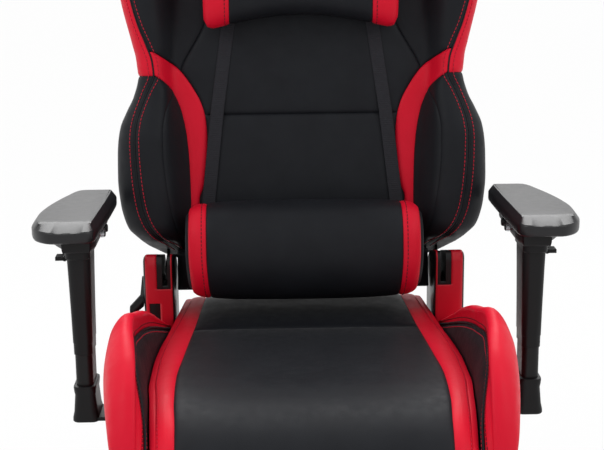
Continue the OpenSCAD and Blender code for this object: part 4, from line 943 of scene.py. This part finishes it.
def horn_outline(y):
    """A bolster's section from its inner foot over the ridge to its outer foot."""
    inner, rx, out = float(cushion_half(y)) + 0.5, float(ridge_x(y)), float(horn_outer(y))
    edge = SEAT_TOP - float(crease_drop(y))
    high = max(SEAT_TOP + HORN_RISE * float(ridge_share(y)), edge + 6)
    low = horn_low[2]
    rise, tall = high - edge, high - low
    points = np.array([
        (inner, low), (inner, 0.5 * (low + edge)), (inner, edge),
        (inner + 0.34 * (rx - inner), edge + 0.42 * rise), (inner + 0.7 * (rx - inner), edge + 0.76 * rise),
        (rx - 6, high - 3.5), (rx + 3, high), (rx + 0.45 * (out - rx), low + 0.955 * tall),
        (out - 5, low + 0.82 * tall), (out, low + 0.6 * tall), (out - 3, low + 0.3 * tall),
        (out - 9, low + 0.08 * tall), (out - 20, low)])
    centre = np.array([0.5 * (inner + out), 0.5 * (low + high)])
    nose, heel = closing(y, HORN_FRONT, FAR, 16), closing(y, -FAR, HORN_REAR, 14)
    return centre + (points - centre) * (1, nose * heel) if nose * heel < 1 else points


def on_horn(y, x, z):
    return (x, y, z)


horn = Form(horn_outline, on_horn)


def horn_seam(y):
    """The seam under the ridge, on the side that faces the sitter."""
    run, line = horn.section(y)
    crest = int(np.argmax(line[:, 1]))
    rising = np.maximum.accumulate(line[:crest + 1, 0])
    return float(np.interp(horn_seam_x(y), rising + np.arange(crest + 1) * 1e-6, run[:crest + 1]))


# %% Bolster panels and piping
def horn_line(off, lift, side):
    """A line beside the bolster's seam."""
    ys = np.arange(HORN_FRONT + 4, HORN_REAR - 6, 5)
    return seam_line(horn, [(y, horn_seam(y) + off) for y in ys], lift, side)


for side, word in SIDES:
    panel(f"bolster_inner_{word}", horn, HORN_FRONT, HORN_REAR, middle, horn_seam, BLACK, "seat", side=side,
          seams="r", crown=0.5, sink=1.8, step=4, nodes=(f"seat_bolster_{word}",))
    panel(f"bolster_outer_{word}", horn, HORN_FRONT, HORN_REAR, horn_seam, end_of(horn), RED, "seat", side=side,
          seams="l", crown=1.5, sink=1.8, step=4)
    piping(f"bolster_piping_{word}", horn_line(-0.6, 0.6, side), 1.9, "seat")
    stitching(f"bolster_stitches_{word}", [horn_line(7, 0.8, side)], DARK_SEWING, "seat")
    stitching(f"bolster_inner_stitches_{word}", [horn_line(-7, 0.2, side)], RED_SEWING, "seat")
print("bolsters rise", round(HORN_RISE), "mm above the seat")


# %% [markdown]
# ## Pillow straps
# Two flat polyester tapes run down the backrest from the harness holes and hold both pillows. A tape is
# a flat section swept along its route, which stays where the frame's own strap lies.

# %% Straps
STRAP_LIFT = -5.2
TAPE_SECTION = [(-10, 0), (-9.6, 0.6), (-8, 0.8), (0, 0.7), (8, 0.8), (9.6, 0.6), (10, 0), (9.6, -0.6), (0, -0.7),
                (-9.6, -0.6)]
route = [(150, STRAP_LIFT, 58), (127, STRAP_LIFT, 260), (113, STRAP_LIFT, 357), (87, STRAP_LIFT, 536),
         (85, STRAP_LIFT - 0.5, 545), (84, STRAP_LIFT, 552.4), (84, -1, 554.4), (84, 30, 554.4), (84, 60, 554.4)]
line = np.array([on_back(w, x, depth) for x, depth, w in route])
run = run_of(line)
line = spaced(line, run, np.linspace(0, run[-1], 160))
face = -unit(np.cross(np.gradient(line, axis=0), (1, 0, 0)))
for side, word in SIDES:
    piece(f"strap_{word}", *sweep(mirrored(line, side), mirrored(face, side), TAPE_SECTION), TAPE, "back",
          nodes=("pillow_straps",) if side < 0 else ())
print("straps:", round(run[-1]), "mm each")

# %% [markdown]
# ## Pillows
# A pillow is a sewn sleeve full of fibre, so it is simulated as cloth under pressure. Its seams are pinned
# where the panels meet, and the stuffing swells the leather between them. The result is then cut at the
# seam planes into its black middle, its red bands and its black end caps.

# %% Pillow stuffing
PILLOW_SIDES = 72
PRESSURE, FRAMES, MOST = 5.0, 18, 12
STIFFNESS, BENDING, PINNED = 12, 0.4, 2.6
GROOVE, GROOVE_REACH = 2.2, 1.8
PILLOW_ROW = 6.5


def pillow_rings(half_w, depth, height, bow):
    """Rings across a pillow, fuller in the middle and a little flat behind."""
    share = smooth([(-1, 0.70), (-0.985, 0.79), (-0.95, 0.865), (-0.88, 0.92), (-0.5, 0.965), (0, 0.97), (0.5, 0.965),
                    (0.88, 0.92), (0.95, 0.865), (0.985, 0.79), (1, 0.70)])
    c, t = circle(PILLOW_SIDES).T
    rings = []
    for s in np.linspace(-1, 1, round(half_w / 2.4)):
        size = float(share(s))
        lift = np.where(t < 0, bow * (1 - s * s), 0) * np.abs(t)
        rings.append(np.stack([np.full(PILLOW_SIDES, s * half_w), np.sign(c) * np.abs(c) ** 0.8 * size * depth / 2,
                               np.sign(t) * np.abs(t) ** 0.8 * size * height / 2 + lift], axis=1))
    return np.array(rings)


def stuff(mesh, seams, half_w):
    """Swells a closed mesh with cloth pressure while its seams hold still."""
    scene = bpy.context.scene
    obj = linked("stuffing", mesh)
    before = np.array([v.co[:] for v in mesh.vertices])
    pins = obj.vertex_groups.new(name="seams")
    for i, (x, _, _) in enumerate(before / MM):
        if min(abs(abs(x) - s) for s in seams + [half_w]) < PINNED:
            pins.add([i], 1.0, "REPLACE")
    cloth = obj.modifiers.new("stuffing", "CLOTH")
    cloth.settings.vertex_group_mass = "seams"
    cloth.settings.use_pressure = True
    cloth.settings.uniform_pressure_force = PRESSURE
    cloth.settings.tension_stiffness = cloth.settings.compression_stiffness = STIFFNESS
    cloth.settings.bending_stiffness = BENDING
    cloth.settings.effector_weights.gravity = 0
    cloth.collision_settings.use_collision = False
    cloth.point_cache.frame_end = FRAMES
    for step in range(1, FRAMES + 1):
        scene.frame_set(step)
    swollen = obj.evaluated_get(bpy.context.evaluated_depsgraph_get()).to_mesh()
    after = np.array([v.co[:] for v in swollen.vertices])
    scene.frame_set(1)
    moved = after - before
    far = np.linalg.norm(moved, axis=1, keepdims=True)
    after = before + moved * np.minimum(1, MOST * MM / np.maximum(far, 1e-9))
    bpy.data.objects.remove(obj)
    return after


def pillow_row(x, flat, placed):
    """The line round a pillow's front at one distance across, with its outward direction."""
    turn = np.arctan2(flat[:, 2], -flat[:, 1])
    chosen = np.flatnonzero((np.abs(flat[:, 0] - x) < 0.02) & (np.abs(turn) < 1.9))
    line = placed[chosen[np.argsort(turn[chosen])]]
    out = (line - placed.mean(axis=0)) * (0, 1, 1)
    return line, unit(out)


def cut_pillow(name, half_w, depth, height, centre_w, bow, seams, parts, taper=0.0, behind=6.4):
    """A pillow in its place, as one piece for each run between its seams, from the middle outwards."""
    points, faces = skin(pillow_rings(half_w, depth, height, bow))
    mesh = bpy.data.meshes.new(name)
    mesh.from_pydata([tuple(p) for p in points * MM], [], faces)
    shape = bmesh.new()
    shape.from_mesh(mesh)
    bmesh.ops.poke(shape, faces=[f for f in shape.faces if len(f.verts) > 4])
    shape.to_mesh(mesh)
    for vertex, place in zip(shape.verts, stuff(mesh, seams, half_w)):
        vertex.co = place
    for s in seams:
        for off in (-4, -2, -0.9, 0, 0.9, 2, 4, PILLOW_ROW):
            for turn in (-1, 1):
                bmesh.ops.bisect_plane(shape, geom=list(shape.verts) + list(shape.edges) + list(shape.faces),
                                       plane_co=(turn * (s + off) * MM, 0, 0), plane_no=(1, 0, 0))
    shape.normal_update()
    shape.verts.ensure_lookup_table()
    points = np.array([v.co[:] for v in shape.verts]) / MM
    flat = points.copy()
    out = np.array([v.normal[:] for v in shape.verts])
    near = np.min([np.abs(np.abs(points[:, 0]) - s) for s in seams], axis=0)
    points -= out * GROOVE * np.exp(-near / GROOVE_REACH)[:, None]
    points[:, 0] *= 1 - taper * np.clip(-points[:, 2] / height * 2, 0, 1) ** 1.5
    points[:, 1] = np.minimum(points[:, 1] - depth / 2 - 2.1, -behind - 0.02 * (depth / 2 + points[:, 1]))
    placed = np.stack(on_back(points[:, 2] + centre_w, points[:, 0], points[:, 1]), axis=1)
    runs = [-1] + seams + [half_w + 20]
    for inner, outer, (word, finish) in zip(runs, runs[1:], parts):
        faces = [tuple(v.index for v in f.verts) for f in shape.faces
                 if inner < abs(f.calc_center_median().x / MM) < outer]
        made = piece(f"{name}_{word}", placed, faces, finish, name, (f"{name}_pillow",) if inner < 0 else ())
    stitching(f"{name}_stitches", [pillow_row(turn * (seams[0] + PILLOW_ROW), flat, placed) for turn in (-1, 1)],
              DARK_SEWING, name)
    shape.free()


# %% Lumbar and neck pillows
cut_pillow("lumbar", half_w=174, depth=124, height=150, centre_w=55.5, bow=0, seams=[143, 171],
           parts=(("middle", BLACK), ("band", RED), ("end", BLACK)), taper=0.035)
cut_pillow("neck", half_w=143, depth=72, height=172, centre_w=455, bow=30, seams=[105],
           parts=(("middle", BLACK), ("flap", RED)))

# %% [markdown]
# ## Moulded shapes from outlines
# A moulding is drawn by its outline, and its edges are rounded where the tool's halves meet. A stack of
# the same outline, drawn in a little at each level, gives the drafted walls and the rolled rims that an
# extruded block lacks.

# %% Outline helpers


def loop(points, count, crisp=False):
    """A closed outline through a few points, as evenly spaced ones. A crisp one keeps its corners."""
    line = np.array(list(points) + [points[0]], float)
    run = run_of(line)
    at = np.linspace(0, run[-1], count, endpoint=False)
    if crisp:
        return spaced(line, run, at)
    line = np.vstack([line[-4:-1], line, line[1:4]])
    run = run_of(line)
    return np.stack([smooth(list(zip(run, column)))(at + run[3]) for column in line.T], axis=1)


def round_box(wide, deep, radius):
    """A rectangle with round corners about the origin, run anticlockwise."""
    points = []
    for k, (sx, sy) in enumerate(((1, 1), (-1, 1), (-1, -1), (1, -1))):
        for turn in np.linspace(0, math.pi / 2, 16) + k * math.pi / 2:
            points.append((sx * (wide / 2 - radius) + radius * math.cos(turn),
                           sy * (deep / 2 - radius) + radius * math.sin(turn)))
    return np.array(points)


def left_of(steps):
    """The direction at the left of each step ahead, which is into an anticlockwise outline."""
    ahead = unit(steps)
    return np.stack([-ahead[:, 1], ahead[:, 0]], axis=1)


def drawn_in(outline, inset):
    """An anticlockwise outline, moved in by a distance."""
    return outline + inset * left_of(np.roll(outline, -1, axis=0) - np.roll(outline, 1, axis=0))


def at_height(outline, z, centre=(0, 0)):
    return np.column_stack([outline + centre, np.full(len(outline), z)])


def moulding(name, outline, levels, centre, finish, body, side=1, nodes=()):
    """A stack of one outline at (height, inset) levels, round a centre."""
    rings = [at_height(drawn_in(outline, inset), z, centre) for z, inset in levels]
    return piece(name, *skin(rings), finish, body, nodes, 30, side)


def side_moulding(name, outline, levels, side, nodes=()):
    """A plate drawn in y and z, stacked outward at (x, inset) levels."""
    rings = [np.column_stack([np.full(len(outline), x), drawn_in(outline, inset)]) for x, inset in levels]
    return piece(name, *skin(rings), TRIM, "seat", nodes, 30, side)


# %% [markdown]
# ## Armrests
# The pad is a block of self-skinned foam. Its top is flat and falls to a crisp bevel all round, with a
# broad facet at the front. Under it sit a shallow tray, a turntable and a tapered sleeve that slides on
# the steel post. The foot holds the post in a scooped collar on the plate under the seat.

# %% Armrest pad and tray
ARM_Y = 10
pad_low, pad_high = corners("arm_pad_right")
tray_low, tray_high = corners("arm_tray_right")
post_low, post_high = corners("arm_post_right")
ARM_X = (post_low[0] + post_high[0]) / 2
PAD_CORNERS = [(-29, -20), (-27, -48), (-22, -60), (-8, -66), (12, -68), (33, -64), (48, -53), (58, -36),
               (63, -12), (64, 20), (60, 60), (50, 110), (40, 146), (31, 174), (22, 185), (8, 188), (-20, 188),
               (-31, 184), (-34, 172), (-33, 100), (-31, 40)]
PAD_FRONT, BROW = -68, 26
KNOBS_AT = (38, 68)
pad_outline = loop(PAD_CORNERS, 160)


def pad_ring(z, inset, pulled):
    """The pad's outline at a height, drawn in, with its front pulled back for the facet."""
    ring = drawn_in(pad_outline, inset)
    front = PAD_FRONT + pulled + inset
    ring[:, 1] = np.where(ring[:, 1] < front, ring[:, 1] * 0.08 + 0.92 * front, ring[:, 1])
    return at_height(ring, z, (ARM_X, ARM_Y))


def arm_pad(side, word):
    low, high = pad_low[2], pad_high[2]
    levels = [(low, 3.5, 6), (low + 0.6, 1.6, 3), (low + 2.2, 0.5, 1), (low + 5, 0, 0), (high - 11, 0, 0),
              (high - 9.5, 0.5, 1), (high - 8.2, 1.4, 3), (high - 1.4, 6.4, BROW - 3), (high - 0.5, 7.4, BROW),
              (high, 9.2, BROW + 3)]
    made = piece(f"pad_{word}", *skin([pad_ring(*level) for level in levels]), FOAM_SKIN, f"armrest_{word}",
                 (f"arm_pad_{word}",), 24, side)


def arm_tray(side, word):
    low, high = tray_low[2], tray_high[2]
    centre = [(a + b) / 2 for a, b in zip(tray_low[:2], tray_high)]
    half, end = [(b - a) / 2 for a, b in zip(tray_low[:2], tray_high)]
    neck = ARM_X - centre[0]
    outline = loop([(neck - 19, -end), (neck + 19, -end), (neck + 20, 12 - end), (half - 6, 46 - end), (half, 60 - end),
                    (half, end - 12), (half - 10, end), (12 - half, end), (-half, end - 12), (-half, 40 - end),
                    (neck - 22, 14 - end)], 120)
    moulding(f"tray_{word}", outline, [(low + 0.2, 3), (low + 1, 2), (low + 3, 1), (low + 6, 0.4), (high - 2, 0),
                                       (high, 0)], centre, NYLON, f"armrest_{word}", side, (f"arm_tray_{word}",))
    for y in KNOBS_AT:
        rings = [np.column_stack([np.full(20, tray_low[0] - out), radius * circle(20) + (ARM_Y + y, (low + high) / 2)])
                 for out, radius in ((0, 6.5), (1.5, 6.5), (5, 5.6), (6, 4.6))]
        points, faces = skin(rings)
        piece(f"tray_knob_{word}_{y}", points, flipped(faces), NYLON, f"armrest_{word}", creased=30, side=side)


for side, word in SIDES:
    arm_pad(side, word)
    arm_tray(side, word)
print("armrest pads:", [round(b - a) for a, b in zip(pad_low, pad_high)], "mm")

# %% Armrest column
sleeve_low, sleeve_high = corners("arm_sleeve_right")
foot_low = corners("arm_bracket_right")[0]
POST_W, POST_D = 24, 52


def arm_turntable(side, word):
    low, high = corners("arm_turntable_right")[0][2], tray_low[2]
    moulding(f"turntable_{word}", round_box(34, 80, 10),
             [(low + 7, 1), (low + 8, 0), (high - 0.6, 0), (high - 0.2, 0.6)], (ARM_X, ARM_Y), NYLON,
             f"turntable_{word}", side, (f"arm_turntable_{word}",))


def lofted(name, sections, body, side, nodes):
    """A drafted column round the post, from (z, width and depth beyond the post, corner) levels."""
    rings = [at_height(round_box(POST_W + w, POST_D + d, r), z, (ARM_X, ARM_Y)) for z, w, d, r in sections]
    piece(name, *skin(rings), NYLON, body, nodes, 32, side)


def arm_column(side, word):
    low, high = sleeve_low[2], sleeve_high[2]
    lofted(f"sleeve_{word}", [(low, 1.0, 2.4, 7), (low + 0.5, 1.8, 4, 8), (low + 16, 2.4, 5, 9), (low + 17, 3.4, 6, 9),
                              (low + 60, 4.6, 8, 9), (high - 30, 7, 11, 10), (high - 1.2, 8.4, 13, 10),
                              (high - 0.2, 7.4, 11.6, 9.5)],
           f"sleeve_{word}", side, (f"arm_sleeve_{word}",))
    foot = foot_low[2]
    lofted(f"foot_{word}", [(foot + 4, 11, 12, 9), (foot + 5.2, 13, 14, 10), (foot + 10, 12.6, 13.6, 10),
                            (foot + 18, 9, 10, 9), (foot + 42, 5, 7, 9), (foot + 47, 6.6, 9, 9),
                            (foot + 53, 7.6, 10, 9), (foot + 55.4, 7, 9.4, 9), (foot + 56, 4.6, 7, 8)],
           "seat", side, (f"arm_bracket_{word}",))
    tongue = round_box(abs(ARM_X - foot_low[0]) - 6, 56, 4)
    moulding(f"foot_plate_{word}", tongue, [(foot + 4.2, 1), (foot + 5, 0), (foot + 9, 0), (foot + 9.8, 1)],
             ((ARM_X + foot_low[0]) / 2 - 3, ARM_Y), NYLON, "seat", side)


for side, word in SIDES:
    arm_column(side, word)
    arm_turntable(side, word)
print("sleeve slides over a", POST_W, "x", POST_D, "mm post")

# %% [markdown]
# ## Hinge covers
# Where the back meets the seat, a moulded cover hides each recliner. Two black shells close round the
# steel side plate, which swings in the slot between them. A red skin wraps the front and top edge of
# the shells, with a window round the slot where the black shows.

# %% Hinge covers
cover_low, cover_high = corners("hinge_cover_right")
COVER_FRONT, COVER_TOP, COVER_LOW = cover_low[1], cover_high[2], cover_low[2]
SLOT = (204, 212)
ARC, CORNER = 44, 12
SKIN, SKIN_RUN = 1.2, 205


def cover_outline():
    """The side outline of a hinge cover in y and z, anticlockwise as seen from +x."""
    points = [(COVER_FRONT, COVER_LOW), (PIN_Y + ARC, COVER_LOW), (PIN_Y + ARC, PIN_Z)]
    points += [(PIN_Y + ARC * math.cos(a), PIN_Z + ARC * math.sin(a)) for a in np.linspace(0.15, math.pi / 2, 8)]
    points += [(COVER_FRONT + CORNER + CORNER * math.sin(a), COVER_TOP - CORNER + CORNER * math.cos(a))
               for a in np.linspace(0, -math.pi / 2, 7)]
    return loop(points, 150, crisp=True)


def front_path():
    """The line up the front of a cover and over its top corner, with its outward direction."""
    line = cover_outline()[::-1]
    start = int(np.argmin(np.hypot(line[:, 0] - COVER_FRONT, line[:, 1] - COVER_LOW)))
    line = np.roll(line, -start, axis=0)
    line = spaced(line, run_of(line), np.arange(2, SKIN_RUN, 2.0))
    return line, left_of(np.gradient(line, axis=0))


def red_skin(name, x_stations, windows, side):
    """A thin red skin along the front path, with (x low, x high, z low, z high) windows left open."""
    line, out = front_path()
    proud = np.minimum(SKIN, 0.6 * np.minimum(x_stations - x_stations[0], x_stations[-1] - x_stations) + 0.1)
    grid = np.array([[(x, y + o[0] * p, z + o[1] * p) for x, p in zip(x_stations, proud)]
                     for (y, z), o in zip(line, out)])
    flat = grid.reshape(-1, 3)
    faces = []
    for face in quads(*grid.shape[:2]):
        x, _, z = flat[list(face)].mean(axis=0)
        if not any(a < x < b and c < z < d for a, b, c, d in windows):
            faces.append(face)
    thick = piece(name, flat, faces, RED_TRIM, "seat", side=side).modifiers.new("thickness", "SOLIDIFY")
    thick.thickness = SKIN * MM
    thick.offset = -1


def hinge_cover(side, word):
    outline = cover_outline()
    low_x, high_x = cover_low[0], cover_high[0]
    side_moulding(f"hinge_shell_inner_{word}", outline,
                  [(low_x, 3), (low_x + 0.8, 1), (low_x + 2.4, 0), (SLOT[0], 0)], side)
    side_moulding(f"hinge_shell_outer_{word}", outline,
                  [(SLOT[1], 0), (high_x - 5, 0), (high_x - 2.6, 1), (high_x - 0.9, 2.8), (high_x, 6)], side,
                  (f"hinge_cover_{word}",))
    fill = [(COVER_FRONT, COVER_LOW), (PIN_Y + ARC, COVER_LOW), (PIN_Y + ARC, PIN_Z - 42), (PIN_Y - 1, PIN_Z - 42),
            (PIN_Y - 1, PIN_Z + 10), (COVER_FRONT, PIN_Z + 10)]
    side_moulding(f"hinge_filler_{word}", loop(fill, 120, crisp=True), [(SLOT[0] - 0.5, 0), (SLOT[1] + 0.5, 0)], side)
    xs = np.array([197, 197.6, 199, 201, 204, 208, 212, 216, 220, 224, 226, 229, 232, 234.6, 236.4, 237])
    windows = [(199.5, 221.5, PIN_Z + 5, COVER_TOP + 1)]
    if side < 0:
        windows.append((214, 232, PIN_Z - 64, PIN_Z - 16))
    red_skin(f"hinge_skin_{word}", xs, windows, side)


for side, word in SIDES:
    hinge_cover(side, word)
print("hinge covers:", round(cover_high[0] - cover_low[0], 1), "mm wide")

# %% [markdown]
# ## The working parts
# Everything below and inside is the frame's own model, which keeps its shape, so it only needs the finish
# that its real part has. The arm posts' darker coat also holds painted shade, for the shade under the pads.

# %% Finishes of the frame's own parts
FINISHES = (
    (nylon, ("star_base", "tilt_housing", "caster_fork", "dust_cover", "arm_trigger",
             "harness_trims", "tension_knob", "height_lever")),
    (tread, ("caster_wheels",)),
    (coated_steel, ("lift_cylinder", "tilt_plate", "seat_frame", "back_frame", "recliner_brackets",
                    "recline_lever", "lever_clevis")),
    # The arm posts take the powder coat darkened with painted shade.
    (post_coat_painted_shade, ("arm_post",)),
    (ground_steel, ("lift_piston",)),
    (zinc, ("tilt_axle", "tension_spring", "mount_bolts", "arm_button")),
    (webbing_weave, ("seat_webbing",)),
    (cover_cloth, ("underside_cover",)),
)
for node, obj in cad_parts.items():
    finish = next((m for m, names in FINISHES if node.startswith(names)), None)
    if finish is None:
        continue
    for held in obj.material_slots:
        held.material = finish
    if not obj.material_slots:
        obj.data.materials.append(finish)
print("frame parts finished:", sum(len(names) for _, names in FINISHES), "kinds")
